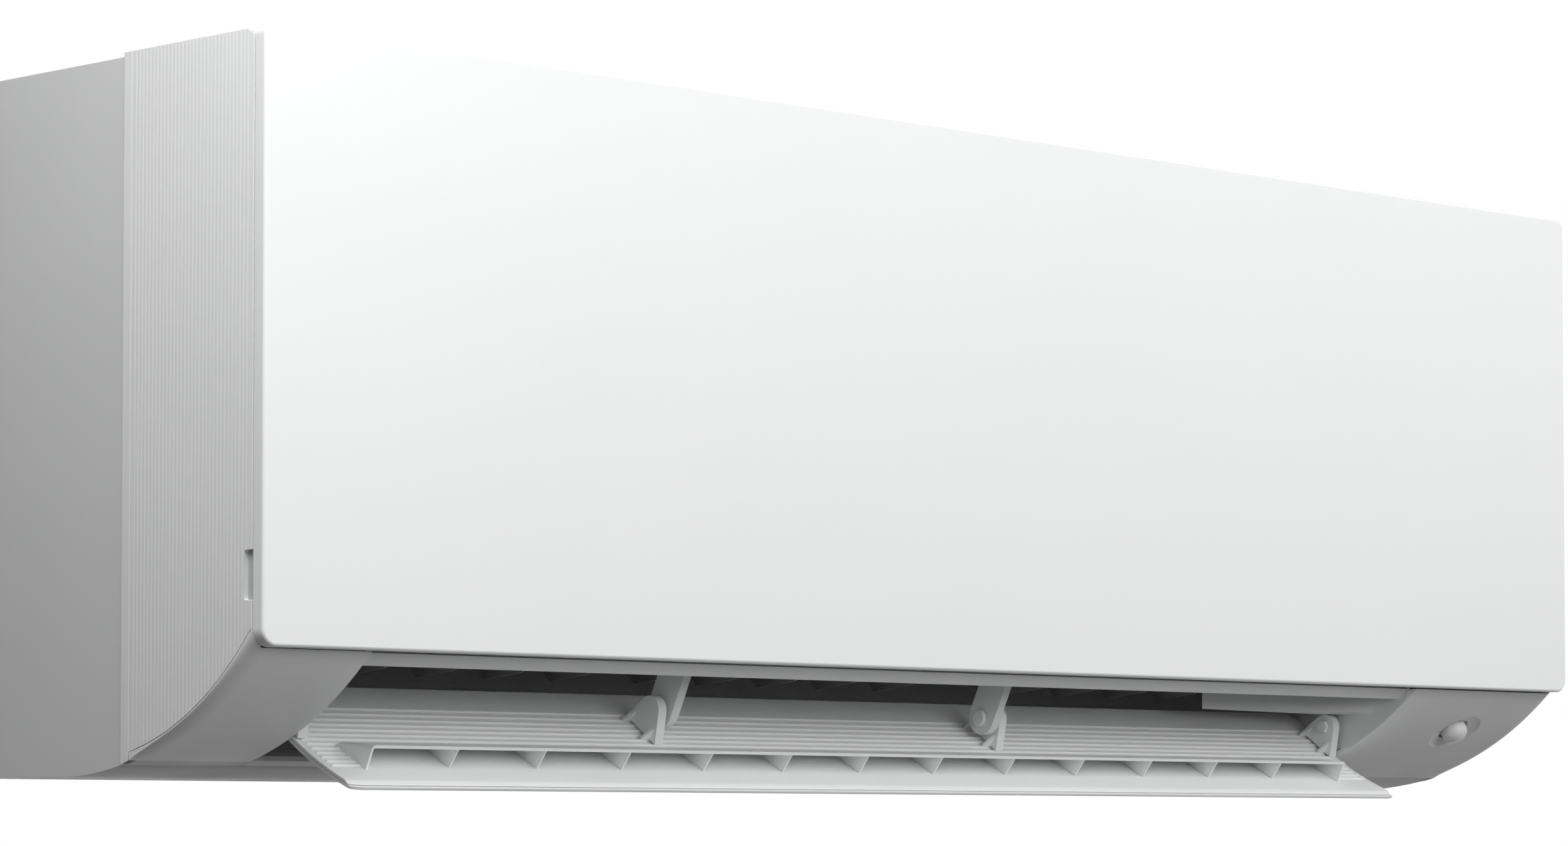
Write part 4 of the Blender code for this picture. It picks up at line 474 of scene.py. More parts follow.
def surfaced(tree, shader, shares, colour, darkening, gloss, relief, strength, distance):
    """Two shades mixed by a socket, uneven gloss and a fine relief."""
    darker = tuple(c * (1 - darkening) for c in colour)
    mix = add_node(tree, "ShaderNodeMix", {6: (*colour, 1.0), 7: (*darker, 1.0)}, data_type="RGBA")
    bump = add_node(tree, "ShaderNodeBump", {"Strength": strength, "Distance": distance})
    link(
        tree,
        (*shares, mix, 0), (mix, 2, shader, "Base Color"), (gloss, "Result", shader, "Roughness"),
        (relief, "Fac", bump, "Height"), (bump, "Normal", shader, "Normal"),
    )


def finish_nodes(name):
    material = bpy.data.materials.new(name)
    material.use_nodes = True
    tree = material.node_tree
    return material, tree, tree.nodes["Principled BSDF"], tree.nodes.new("ShaderNodeTexCoord")


def moulded_plastic(name, colour, roughness, grain, grain_scale, mottle):
    """Moulded plastic with a fine spark grain, faint flow marks and uneven gloss."""
    material, tree, shader, coordinates = finish_nodes(name)
    flow = ramped(tree, noise(tree, coordinates, 9.0, 4.0, (1.0, 1.6, 2.2)), 0.0, 1.0)
    gloss = ramped(tree, noise(tree, coordinates, 26.0, 5.0), roughness - 0.04, roughness + 0.05)
    spark = noise(tree, coordinates, grain_scale, 2.0)
    surfaced(tree, shader, (flow, "Result"), colour, mottle, gloss, spark, grain, 0.00004)
    shader.inputs["Specular IOR Level"].default_value = 0.22
    return material


def sheet_metal(name, colour, roughness, brush, spangle):
    """Rolled metal with a drawn grain and soft spangle."""
    material, tree, shader, coordinates = finish_nodes(name)
    shader.inputs["Metallic"].default_value = 1.0
    cells = add_node(tree, "ShaderNodeTexVoronoi", {"Scale": 220.0})
    separate = tree.nodes.new("ShaderNodeSeparateColor")
    link(tree, (coordinates, "Object", cells, "Vector"), (cells, "Color", separate, "Color"))
    drawn = noise(tree, coordinates, 90.0, 4.0, brush)
    gloss = ramped(tree, drawn, roughness - 0.07, roughness + 0.09)
    surfaced(tree, shader, (separate, "Red"), colour, spangle, gloss, drawn, 0.12, 0.00003)
    return material


# Share of the panel's white, roughness, grain, its scale and mottle
WHITES = {
    "panel_white": (1.0, 0.33, 0.05, 2600.0, 0.012),
    "cover_white": (0.985, 0.42, 0.12, 2200.0, 0.02),
    "surround_white": (0.98, 0.40, 0.12, 2200.0, 0.02),
    # The chassis white is partly a greyer plastic and partly painted shade: set darker to stand in for less
    # light reaching the rear of the casing.
    "chassis_white": (0.82, 0.48, 0.2, 1600.0, 0.025),
    "flap_white": (1.0, 0.38, 0.08, 2400.0, 0.015),
    "inner_white": (0.80, 0.5, 0.2, 1500.0, 0.03),
}

# Colour, roughness, grain, its scale and mottle
PLASTICS = {
    "vane_grey": ((0.26, 0.26, 0.265), 0.55, 0.2, 1400.0, 0.15),
    "fan_grey": ((0.12, 0.12, 0.125), 0.5, 0.2, 1400.0, 0.15),
    # Black plastic for the fan motor and the terminal block; also painted shade as the dark block inside
    # the fin packs.
    "black_plastic": ((0.045, 0.045, 0.048), 0.5, 0.2, 1400.0, 0.15),
    "net_grey": ((0.20, 0.21, 0.22), 0.6, 0.2, 1400.0, 0.15),
    "sensor_milk": ((0.97, 0.97, 0.96), 0.28, 0.03, 2600.0, 0.01),
    # Black rubber for the fan bearing; also painted shade on the vanes' edges and in the strips behind the
    # gaps at the lip.
    "rubber_black": ((0.03, 0.03, 0.03), 0.7, 0.4, 900.0, 0.2),
    "board_green": ((0.03, 0.17, 0.08), 0.35, 0.1, 600.0, 0.3),
    "button_grey": ((0.55, 0.56, 0.56), 0.45, 0.1, 1800.0, 0.03),
}

# Colour, roughness, stretch of the drawn grain and spangle
METALS = {
    "zinc_sheet": ((0.62, 0.63, 0.64), 0.38, (1.0, 40.0, 40.0), 0.10),
    "fin_aluminium": ((0.80, 0.81, 0.82), 0.36, (40.0, 1.0, 1.0), 0.05),
    "copper_tube": ((0.74, 0.40, 0.24), 0.30, (1.0, 30.0, 30.0), 0.12),
    "ground_steel": ((0.60, 0.61, 0.62), 0.24, (1.0, 60.0, 60.0), 0.04),
}
FINISHES = {}


def finish(name):
    """A named finish, made when it is first asked for."""
    if name in FINISHES:
        return FINISHES[name]
    if name in METALS:
        made = sheet_metal(name, *METALS[name])
    elif name in WHITES:
        share, *surface = WHITES[name]
        white = tuple(c * share for c in bpy.context.scene.unit_panel.colour)
        made = moulded_plastic(name, white, *surface)
    else:
        made = moulded_plastic(name, *PLASTICS[name])
    FINISHES[name] = made
    return made


# Geometry Nodes trees

INT, FLOAT, VECTOR = "NodeSocketInt", "NodeSocketFloat", "NodeSocketVector"


def row_start(name, *inputs):
    """A tree that repeats the piece along a line, with its entry, line, copies and real copies."""
    tree = bpy.data.node_groups.new(name, "GeometryNodeTree")
    for way in ("INPUT", "OUTPUT"):
        tree.interface.new_socket("Geometry", in_out=way, socket_type="NodeSocketGeometry")
    for label, kind in (("Count", INT), *inputs, ("Material", "NodeSocketMaterial")):
        tree.interface.new_socket(label, in_out="INPUT", socket_type=kind)
    entry = tree.nodes.new("NodeGroupInput")
    line = add_node(tree, "GeometryNodeMeshLine", mode="OFFSET")
    copies = tree.nodes.new("GeometryNodeInstanceOnPoints")
    real = tree.nodes.new("GeometryNodeRealizeInstances")
    link(
        tree,
        (entry, "Count", line, "Count"), (line, "Mesh", copies, "Points"),
        (copies, "Instances", real, "Geometry"),
    )
    return tree, entry, line, copies, real


def row_end(tree, entry, last):
    """Gives the last node's geometry its material and sends it out."""
    painted = tree.nodes.new("GeometryNodeSetMaterial")
    leave = tree.nodes.new("NodeGroupOutput")
    link(
        tree,
        (last, "Geometry", painted, "Geometry"), (entry, "Material", painted, "Material"),
        (painted, "Geometry", leave, "Geometry"),
    )
    return tree


def row_tree(name):
    """Copies of the piece in a straight row, each a step from the one before."""
    tree, entry, line, copies, real = row_start(name, ("Step", VECTOR))
    link(tree, (entry, "Step", line, "Offset"), (entry, "Geometry", copies, "Instance"))
    return row_end(tree, entry, real)


def ring_tree(name):
    """Copies of the piece turned about an axis along x through a centre."""
    tree, entry, line, copies, real = row_start(name, ("Step angle", FLOAT), ("Centre", VECTOR))
    line.inputs["Offset"].default_value = (0.0, 0.0, 0.0)
    back = add_node(tree, "ShaderNodeVectorMath", {"Scale": -1.0}, operation="SCALE")
    to_centre = tree.nodes.new("GeometryNodeTransform")
    index = tree.nodes.new("GeometryNodeInputIndex")
    turn = add_node(tree, "ShaderNodeMath", operation="MULTIPLY")
    spin = tree.nodes.new("ShaderNodeCombineXYZ")
    from_centre = tree.nodes.new("GeometryNodeTransform")
    link(
        tree,
        (entry, "Centre", back, 0), (entry, "Geometry", to_centre, "Geometry"),
        (back, 0, to_centre, "Translation"), (to_centre, "Geometry", copies, "Instance"),
        (index, 0, turn, 0), (entry, "Step angle", turn, 1), (turn, 0, spin, "X"),
        (spin, 0, copies, "Rotation"), (real, "Geometry", from_centre, "Geometry"),
        (entry, "Centre", from_centre, "Translation"),
    )
    return row_end(tree, entry, from_centre)


def seam_tree(name):
    """A straight row whose lower ends are drawn to the seam's arc."""
    tree, entry, line, copies, real = row_start(
        name, ("Step", VECTOR), ("Seam centre", VECTOR), ("Seam radius", FLOAT), ("Lower ends below", FLOAT)
    )
    where = tree.nodes.new("GeometryNodeInputPosition")
    split, centre = (tree.nodes.new("ShaderNodeSeparateXYZ") for _ in range(2))
    maths = ("SUBTRACT", "MULTIPLY", "MULTIPLY", "SUBTRACT", "SQRT", "SUBTRACT")
    away, away_square, radius_square, left_over, root, height = (
        add_node(tree, "ShaderNodeMath", operation=kind) for kind in maths
    )
    moved = tree.nodes.new("ShaderNodeCombineXYZ")
    low = add_node(tree, "FunctionNodeCompare", data_type="FLOAT", operation="LESS_THAN")
    set_ends = tree.nodes.new("GeometryNodeSetPosition")
    link(
        tree,
        (entry, "Step", line, "Offset"), (entry, "Geometry", copies, "Instance"),
        (where, 0, split, 0), (entry, "Seam centre", centre, 0), (split, "Y", away, 0),
        (centre, "Y", away, 1), (away, 0, away_square, 0), (away, 0, away_square, 1),
        (entry, "Seam radius", radius_square, 0), (entry, "Seam radius", radius_square, 1),
        (radius_square, 0, left_over, 0), (away_square, 0, left_over, 1), (left_over, 0, root, 0),
        (centre, "Z", height, 0), (root, 0, height, 1), (split, "X", moved, "X"),
        (split, "Y", moved, "Y"), (height, 0, moved, "Z"), (split, "Z", low, 0),
        (entry, "Lower ends below", low, 1), (real, "Geometry", set_ends, "Geometry"),
        (low, 0, set_ends, "Selection"), (moved, 0, set_ends, "Position"),
    )
    return row_end(tree, entry, set_ends)


ROWS = {"Straight row": row_tree, "Turned row": ring_tree, "Seam row": seam_tree}


def repeated(piece, row, look, **values):
    """The piece repeated by a named tree, as a plain mesh. Inputs are given by their names."""
    tree = bpy.data.node_groups.get(row) or ROWS[row](row)
    values["material"] = finish(look)
    modifier = piece.modifiers.new("repeat", "NODES")
    modifier.node_group = tree
    for item in tree.interface.items_tree:
        if item.item_type == "SOCKET" and item.in_out == "INPUT":
            key = item.name.lower().replace(" ", "_")
            if key in values:
                modifier[item.identifier] = values[key]
    return baked(piece)


# Front panel

def panel_ring(inset, d):
    corners = rectangle(inset, PANEL_BOTTOM + inset, WIDTH - inset, HEIGHT - inset)
    low, high = PANEL_LOW_RADIUS - inset, PANEL_TOP_RADIUS - inset
    return [place(x, d, h) for x, h in rounded(corners, (low, low, high, high), 10)]


class UNIT_OT_front_panel(bpy.types.Operator):
    """Build the flat front panel with its rim and hinge lugs"""

    bl_idname = "unit.front_panel"
    bl_label = "Front panel"

    def execute(self, context):
        edge = context.scene.unit_panel.edge_radius
        rings = [panel_ring(edge * (1 - sin(t)), edge * (1 - cos(t))) for t in turns(6)]
        back = 0.0004
        stations = (
            (0, PANEL_THICKNESS - back), (back * 0.3, PANEL_THICKNESS - back * 0.3),
            (back, PANEL_THICKNESS), (PANEL_RIM - back, PANEL_THICKNESS),
            (PANEL_RIM, PANEL_THICKNESS - back), (PANEL_RIM, PANEL_SKIN + back),
            (PANEL_RIM + back, PANEL_SKIN),
        )
        rings += [panel_ring(inset, d) for inset, d in stations]
        built("front_panel_moulding", [loft(rings)], "panel_white", "front_panel", angle=30)
        lugs = []
        d, h = HINGE_POINT
        eye = 0.0037
        for left, pin_end in ((0.0083, 0.0029), (WIDTH - 0.0113, WIDTH - 0.0029)):
            outline = [(0.0018, h - eye), (d - 0.002, h - eye)]
            outline += arc(HINGE_POINT, eye, -pi / 2, pi / 2, 14) + [(0.0018, h + eye - 0.001)]
            lugs.append(across(outline, left, left + 0.003))
            pin = [(left + 0.0015, 0.0019), (pin_end, 0.0019)]
            lugs.append(turned(pin, HINGE_POINT, 20))
        for x in (0.12, 0.275, WIDTH / 2, 0.59, 0.745):
            rib = rectangle(PANEL_SKIN - 0.0003, PANEL_BOTTOM + 0.02, 0.0042, HEIGHT - 0.025)
            lugs.append(across(rib, x - 0.0006, x + 0.0006))
        built("front_panel_lugs", lugs, "panel_white", "front_panel", 0.0002)
        return {"FINISHED"}


# Side covers

def swing_relief(on_right):
    """What the cover's upper front corner gives up, so that the panel's rim clears it."""
    out = Vector((-cos(PANEL_OPEN_ANGLE), sin(PANEL_OPEN_ANGLE)))
    along = Vector((sin(PANEL_OPEN_ANGLE), cos(PANEL_OPEN_ANGLE))) * 0.012
    touch = Vector(HINGE_POINT) + out * (HINGE_POINT[0] - PANEL_THICKNESS - 0.0004)
    start, end = touch - along, touch + along
    outline = [tuple(start), tuple(end), (end.x, HEIGHT + 0.01), (start.x, HEIGHT + 0.01)]
    return across(outline, *cover_sides(on_right))


def cover_sides(on_right):
    inner = CASING_WALL + 0.004
    return (WIDTH - inner, WIDTH + 0.004) if on_right else (-0.004, inner)


def cover_shell(on_right):
    turn = (lambda x: WIDTH - x) if on_right else (lambda x: x)
    base = RIB_HEIGHT
    start = BEAD_FRONT + 0.0001
    outer = [(base * (1 - sin(t)), start + 0.0006 * (1 - cos(t))) for t in turns(8)]
    outer += [(0.0011 * (1 - cos(t)), BEAD_BACK - 0.0010 * (1 - sin(t))) for t in turns(12)[1:]]
    outer.append((CASING_WALL, BEAD_BACK))
    stations = [SIDE_FRONT + (BEAD_FRONT - SIDE_FRONT) * i / 40 for i in range(41)]
    columns = [(CASING_WALL, d) for d in reversed(stations)]
    flank = [(base, d) for d in stations]
    outline = flank + outer + columns
    low, high = [], []
    for x, d in outline:
        seat = seam_height(d) if d <= BEAD_FRONT + 0.0002 else profile_height(d)
        low.append(place(turn(x), d, seat))
        high.append(place(turn(x), d, COVER_TOP))
    return loft([low, high])


def notch_solid(on_right):
    notch = rectangle(SIDE_FRONT - 0.004, 0.069, SIDE_FRONT + 0.0038, 0.089)
    return across(rounded(notch, (0, 0.0012, 0.0012, 0), 6), *cover_sides(on_right))


class UNIT_OT_side_covers(bpy.types.Operator):
    """Build the two ribbed side covers with their beads and finger notches"""

    bl_idname = "unit.side_covers"
    bl_label = "Side covers"

    def execute(self, context):
        settings = context.scene.unit_covers
        for name, on_right in (("left_side_cover", False), ("right_side_cover", True)):
            turn = (lambda x: WIDTH - x) if on_right else (lambda x: x)
            shell = mesh_object(name + "_shell", [cover_shell(on_right)])
            carved(shell, [swing_relief(on_right)])
            eye = 0.004
            boss_end = CASING_WALL + 0.0054
            boss = turned([(turn(CASING_WALL / 2), eye), (turn(boss_end), eye)], HINGE_POINT, 24)
            carved(shell, [boss], "UNION")
            bore = [(turn(x), 0.0022) for x in (CASING_WALL, boss_end + 0.002)]
            bore = turned(bore, HINGE_POINT, 24)
            carved(shell, [bore, notch_solid(on_right)])
            softened(shell, 0.00015, angle=40)
            set_on(shell, "cover_white", name)
            wide = settings.rib_pitch - 0.0006
            start = SIDE_FRONT + 0.0019 + 0.0004
            profile = [
                (turn(RIB_HEIGHT * (1.05 - sin(t))), start + wide * (1 - cos(t)) / 2) for t in turns(8, pi)
            ]
            bar = upright(profile, seam_height(start), COVER_TOP)
            ribs = mesh_object(name + "_ribs", [bar])
            repeated(
                ribs, "Seam row", "cover_white",
                count=settings.rib_count - 1, step=(0.0, settings.rib_pitch, 0.0),
                seam_centre=place(0.0, *SEAM_CENTRE), seam_radius=SEAM_CENTRE_RADIUS - SEAM_GAP,
                lower_ends_below=place(0.0, 0.0, 0.1).z,
            )
            front = rectangle(SIDE_FRONT - 0.0012, 0.0, SIDE_FRONT + 0.0017, 0.0018)
            edge = [(turn(x), d) for d, x in front]
            edge = upright(edge, seam_height(SIDE_FRONT + 0.001), COVER_TOP)
            strip = mesh_object(name + "_front_edge", [edge])
            for piece, width in ((ribs, 0.0), (strip, 0.0002)):
                carved(piece, [notch_solid(on_right)])
                carved(piece, [swing_relief(on_right)])
                softened(piece, width, angle=40)
                set_on(piece, "cover_white", name)
            pocket = rectangle(SIDE_FRONT - 0.0006, 0.068, SIDE_FRONT + 0.0048, 0.090)
            sides = sorted((turn(0.0020), turn(CASING_WALL + 0.0006)))
            built(name + "_notch_back", [across(pocket, *sides)], "button_grey", name, 0.0002)
        return {"FINISHED"}


# Lower surround

def surround_section(share):
    top = PANEL_BOTTOM - 0.0003
    back = BEAD_FRONT - 0.0003
    outer = low_arc(PROFILE_CENTRE, PROFILE_RADIUS, profile_depth(top), back)
    inner = low_arc(SEAM_CENTRE, SEAM_CENTRE_RADIUS, SEAM_ENDS[0][0], back)
    edge = []
    for i, ((outer_d, outer_h), (inner_d, inner_h)) in enumerate(zip(outer, inner)):
        part = share + (1 - share) * (i / (len(outer) - 1)) ** 8
        edge.append((inner_d + (outer_d - inner_d) * part, inner_h + (outer_h - inner_h) * part))
    return edge + inner[::-1]


def sensor_frame():
    x, d = SENSOR_PLACE
    out = Vector((0, -sin(lean(d)), -cos(lean(d))))
    over = Vector((1, 0, 0))
    return place(x, d, profile_height(d)), out, over, out.cross(over)


def sensor_turned(profile, sides=48):
    seat, out, over, up = sensor_frame()
    angles = turns(sides, 2 * pi)[:-1]
    rings = []
    for radius, reach in profile:
        middle = seat + out * reach
        rings.append([middle + (over * cos(t) + up * sin(t)) * radius for t in angles])
    return loft(rings)


class UNIT_OT_lower_surround(bpy.types.Operator):
    """Build the lower surround with its end caps, lip and sensor"""

    bl_idname = "unit.lower_surround"
    bl_label = "Lower surround"

    def execute(self, context):
        stations = [(0.0075 * (1 - cos(t)), 0.08 + 0.92 * sin(t)) for t in turns(16)]
        stations += [(WIDTH - x, share) for x, share in reversed(stations)]
        rings = [[place(x, d, h) for d, h in surround_section(share)] for x, share in stations]
        piece = mesh_object("outlet_surround_moulding", [loft(rings)])
        lip = PROFILE_RADIUS - 0.0035
        opening = [(0.0033, 0.0508)]
        lip_depths = [profile_depth(h, lip) for h in (0.0508, 0.045)]
        opening += low_arc(PROFILE_CENTRE, lip, *lip_depths, 6)
        opening += [(0.0273, 0.049), (BEAD_BACK, 0.034), (BEAD_BACK, -0.004), (0.0033, -0.004)]
        carved(piece, [across(opening, LEFT_CAP, OUTLET_RIGHT)])
        slots = ((0.005, LEFT_CAP, 0.0503, 0.0118), (LEFT_CAP, OUTLET_RIGHT, 0.0501, 0.030),
                 (OUTLET_RIGHT, WIDTH - 0.005, 0.0500, 0.0118))
        for left, right, low, back in slots:
            carved(piece, [across(rectangle(0.003, low, back, 0.064), left, right)])
        dish = [(0.015 * sin(t), -0.0026 * cos(t)) for t in (0.02, 0.3, 0.6, 0.9, 1.2, pi / 2)]
        carved(piece, [sensor_turned(dish + [(0.015, 0.004)])])
        carved(piece, [sensor_turned([(0.0084, -0.012), (0.0084, 0.004)])])
        softened(piece, 0.0002, angle=40)
        set_on(piece, "surround_white", "outlet_surround")
        # Thin black strips behind the gaps at the lip's top: painted shade, a dark sheet that makes the
        # gaps read as deep dark slots.
        shade_strips = [across(rectangle(0.0190, 0.0500, 0.0205, 0.0590), LEFT_CAP, OUTLET_RIGHT)]
        for left, right in ((0.006, LEFT_CAP), (OUTLET_RIGHT, WIDTH - 0.006)):
            shade_strips.append(across(rectangle(0.0112, 0.0498, 0.0117, 0.0600), left, right))
        built("outlet_surround_seal", shade_strips, "rubber_black", "outlet_surround", 0.0001, stands=False)
        seat, out, *_ = sensor_frame()
        solid = frame["nodes"]["sensor_dome"].data
        inside = min((Vector(v.co) - seat).dot(out) for v in solid.vertices)
        shoulder = DOME_TOP - DOME_RISE
        profile = [(0.0092, inside), (0.0092, inside + 0.0015)]
        profile += [(DOME_RADIUS, inside + 0.0016), (DOME_RADIUS, shoulder)]
        for t in turns(12)[1:-1]:
            profile.append((DOME_RADIUS * cos(t), shoulder + DOME_RISE * sin(t)))
        built("sensor_dome_lens", [sensor_turned(profile)], "sensor_milk", "sensor_dome", angle=40)
        return {"FINISHED"}


class UNIT_OT_rear_chassis(bpy.types.Operator):
    """Dress the rear chassis, the top grille and the wall plate"""

    bl_idname = "unit.rear_chassis"
    bl_label = "Rear chassis"

    def execute(self, context):
        chassis = dressed("rear_chassis", "chassis_white")
        corner = [(WIDTH - 0.008, -0.002), (WIDTH + 0.002, -0.002), (WIDTH + 0.002, 0.0085)]
        carved(chassis, [facing(corner, BEAD_FRONT + 0.001, DEPTH + 0.002)])
        dressed("top_grille", "chassis_white", 0)
        dressed("mounting_plate", "zinc_sheet", 0.0002)
        return {"FINISHED"}


class UNIT_OT_frame_and_filters(bpy.types.Operator):
    """Dress the front frame and give the air filters their net"""

    bl_idname = "unit.frame_and_filters"
    bl_label = "Front frame and filters"

    def execute(self, context):
        dressed("front_frame", "inner_white")
        for node in ("filter_left", "filter_right"):
            dressed(node, "net_grey", 0)
            low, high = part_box(node)
            wide = high.x - low.x - 2 * NET_MARGIN
            tall = high.z - low.z - 2 * NET_MARGIN
            start = Vector((low.x + NET_MARGIN, (low.y + high.y) / 2, low.z + NET_MARGIN))
            before = start - Vector((0.0, NET_WIRE, 0.0))
            wires = (
                ("upright", before, (NET_WIRE, NET_WIRE, tall), (NET_PITCH, 0.0, 0.0), wide),
                ("level", start, (wide, NET_WIRE, NET_WIRE), (0.0, 0.0, NET_PITCH), tall),
            )
            for kind, corner, size, step, run in wires:
                wire = mesh_object(f"{node}_net_{kind}", [box(corner, corner + Vector(size))])
                repeated(wire, "Straight row", "net_grey", count=int(run / NET_PITCH), step=step)
                set_on(wire, "net_grey", node, False)
        return {"FINISHED"}


class UNIT_OT_heat_exchanger(bpy.types.Operator):
    """Fill the heat exchanger with fins between its end sheets"""

    bl_idname = "unit.heat_exchanger"
    bl_label = "Heat exchanger"

    def execute(self, context):
        for node in ("evaporator_front", "evaporator_top", "evaporator_rear"):
            source = frame["nodes"][node]
            points = [Vector(v.co) for v in source.data.vertices]
            left = min(p.x for p in points)
            right = max(p.x for p in points)
            corners = []
            for p in points:
                if abs(p.x - left) < 1e-5 and all((p - q).length > 1e-5 for q in corners):
                    corners.append(p)
            middle = sum(corners, Vector()) / len(corners)
            corners.sort(key=lambda p: atan2(p.z - middle.z, p.y - middle.y))
            fin = [[p + Vector((shift, 0, 0)) for p in corners] for shift in (0.0, FIN_THICKNESS)]
            fins = mesh_object(node + "_fins", [loft(fin)])
            count = int((right - left) / FIN_PITCH)
            step = ((right - left - FIN_THICKNESS) / (count - 1), 0.0, 0.0)
            repeated(fins, "Straight row", "fin_aluminium", count=count, step=step)
            set_on(fins, "fin_aluminium", node)
            # A dark block inside the fins: painted shade that makes the gaps between the fins look deep.
            inner = [middle + (p - middle) * 0.97 for p in corners]
            shifts = (0.001, right - left - 0.001)
            shade_block = [[p + Vector((shift, 0, 0)) for p in inner] for shift in shifts]
            built(node + "_core", [loft(shade_block)], "black_plastic", node)
        for node in ("evaporator_end_left", "evaporator_end_right"):
            dressed(node, "copper_tube", 0.0)
        return {"FINISHED"}


class UNIT_OT_fan(bpy.types.Operator):
    """Dress the cross-flow fan, its shafts, bearing and motor"""

    bl_idname = "unit.fan"
    bl_label = "Cross-flow fan"

    def execute(self, context):
        dressed("cross_flow_fan", "fan_grey", 0.0)
        dressed("fan_axle", "ground_steel", 0.0002)
        dressed("motor_shaft", "ground_steel", 0.0002)
        dressed("fan_bearing", "rubber_black", 0.0002)
        dressed("fan_motor", "black_plastic")
        return {"FINISHED"}


class UNIT_OT_outlet_duct(bpy.types.Operator):
    """Dress the outlet duct, its vanes and the bars that link them"""

    bl_idname = "unit.outlet_duct"
    bl_label = "Outlet duct and vanes"

    def execute(self, context):
        dressed("outlet_duct", "inner_white", 0.0002)
        for node in sorted(frame["nodes"]):
            if node.startswith("vane_") and node[5:7].isdigit():
                vane = dressed(node, "vane_grey", 0.0003, 1)
                # The vane's bevelled edges take the black finish: a painted shade outline around each vane.
                vane.data.materials.append(finish("rubber_black"))
                for polygon in vane.data.polygons:
                    if 0.25 < abs(polygon.normal.x) < 0.95:
                        polygon.material_index = 1
            elif node.startswith("vane_link"):
                dressed(node, "vane_grey", 0.0002)
        dressed("vane_motor", "zinc_sheet")
        self.cheek()
        return {"FINISHED"}

    def cheek(self):
        """The smooth wall that closes the outlet's right end and sweeps in behind the flap."""
        wall, rings = OUTLET_RIGHT - 0.0004, []
        for h in (0.0205, 0.025, 0.030, 0.034, CHEEK_LOW, CHEEK_LOW + 0.0012, 0.042, 0.044,
                  0.0441, 0.047, 0.050):
            sweep = CHEEK_SWEEP * min(1.0, max(0.0, (h - CHEEK_LOW) / 0.0012))
            front = max(profile_depth(h) + 0.0006, 0.0135 if h > 0.0440 else 0.0)
            face = [(wall, front), (wall, max(0.0300, front + 0.001))]
            start = face[1][1]
            for t in turns(8)[1:]:
                face.append((wall - sweep * (1 - cos(t)), start + (0.0600 - start) * sin(t)))
            back = [(min(x + 0.0006, wall + 0.0003), d + 0.0006) for x, d in face[:0:-1]]
            ring = face + back + [(wall + 0.0003, front)]
            rings.append([place(x, d, h) for x, d in ring])
        built("outlet_duct_cheek", [loft(rings)], "inner_white", "outlet_duct", angle=50)


# Flap

def flap_point(run, lift):
    turn = lean(FLAP_BACK_DEPTH) + run / PROFILE_RADIUS
    reach = PROFILE_RADIUS - lift
    return (PROFILE_CENTRE[0] - reach * sin(turn), PROFILE_CENTRE[1] - reach * cos(turn))


def flap_length():
    return (lean(FLAP_FRONT_DEPTH) - lean(FLAP_BACK_DEPTH)) * PROFILE_RADIUS


def opened(point):
    rest = Vector(point) - Vector(FLAP_PIVOT)
    return tuple(Matrix.Rotation(FLAP_OPEN_ANGLE, 2) @ rest + Vector(FLAP_PIVOT))


def flap_shell(section):
    stations = [(0.008 * (1 - cos(t)), 0.008 * (1 - sin(t)), 0.002 * (1 - sin(t))) for t in turns(12)]
    left = [(FLAP_LEFT + along, *trims) for along, *trims in stations]
    right = [(FLAP_RIGHT - along, *trims) for along, *trims in reversed(stations)]
    rings = []
    for x, back, front in left + right:
        rings.append([place(x, *opened(flap_point(*point))) for point in section(back, front)])
    return loft(rings)


def skin_section(back, front):
    run, steps = flap_length() - back - front, 40
    edge = 0.0005
    outer = [(back + edge + (run - 2 * edge) * i / steps, 0.0) for i in range(steps + 1)]
    inner = [(back + run * i / steps, 0.0012) for i in range(steps + 1)]
    nose = [(back + run - edge * 0.3, edge * 0.3), (back + run, edge)]
    tail = [(back, edge), (back + edge * 0.3, edge * 0.3)]
    return outer + nose + inner[::-1] + tail


def liner_section(back, front):
    end = flap_length() - 0.004 - front
    steps = 40
    outer = [(back + (end + 0.002 - back) * i / steps, 0.0015) for i in range(steps + 1)]
    inner = [(back + (end - back) * i / steps, 0.0026) for i in range(steps + 1)]
    return outer + inner[::-1]


def wing_ring(run):
    """The wing's section at a run: a plate whose two ends bend down to the flap."""
    share = (run - WING_ROOT) / WING_REACH
    foot = FLAP_FLOOR
    bulge = WING_THICKNESS * 0.5 * sin(pi * min(1.0, share))
    top = FLAP_TOP + WING_THICKNESS + (WING_RISE - WING_THICKNESS) * share + bulge
    wall = min(WING_THICKNESS, (top - foot) * 0.98)
    radius = min(WING_CORNER, (top - foot) * 0.7)
    inside = WING_LEFT + GUSSET_THICKNESS * 1.6
    bend = max(radius - wall, 0.0001)
    outer, inner = [(WING_LEFT, foot)], [(inside, foot)]
    for t in turns(6):
        outer.append((WING_LEFT + radius * (1 - cos(t)), top - radius * (1 - sin(t))))
        inner.append((inside + bend * (1 - cos(t)), top - wall - bend * (1 - sin(t))))
    mirror = [(WING_LEFT + WING_RIGHT - x, lift) for x, lift in reversed(outer)]
    hollow = [(WING_LEFT + WING_RIGHT - x, lift) for x, lift in inner]
    ring = outer + mirror + hollow + inner[::-1]
    return [place(x, *opened(flap_point(run, max(lift, foot)))) for x, lift in ring]


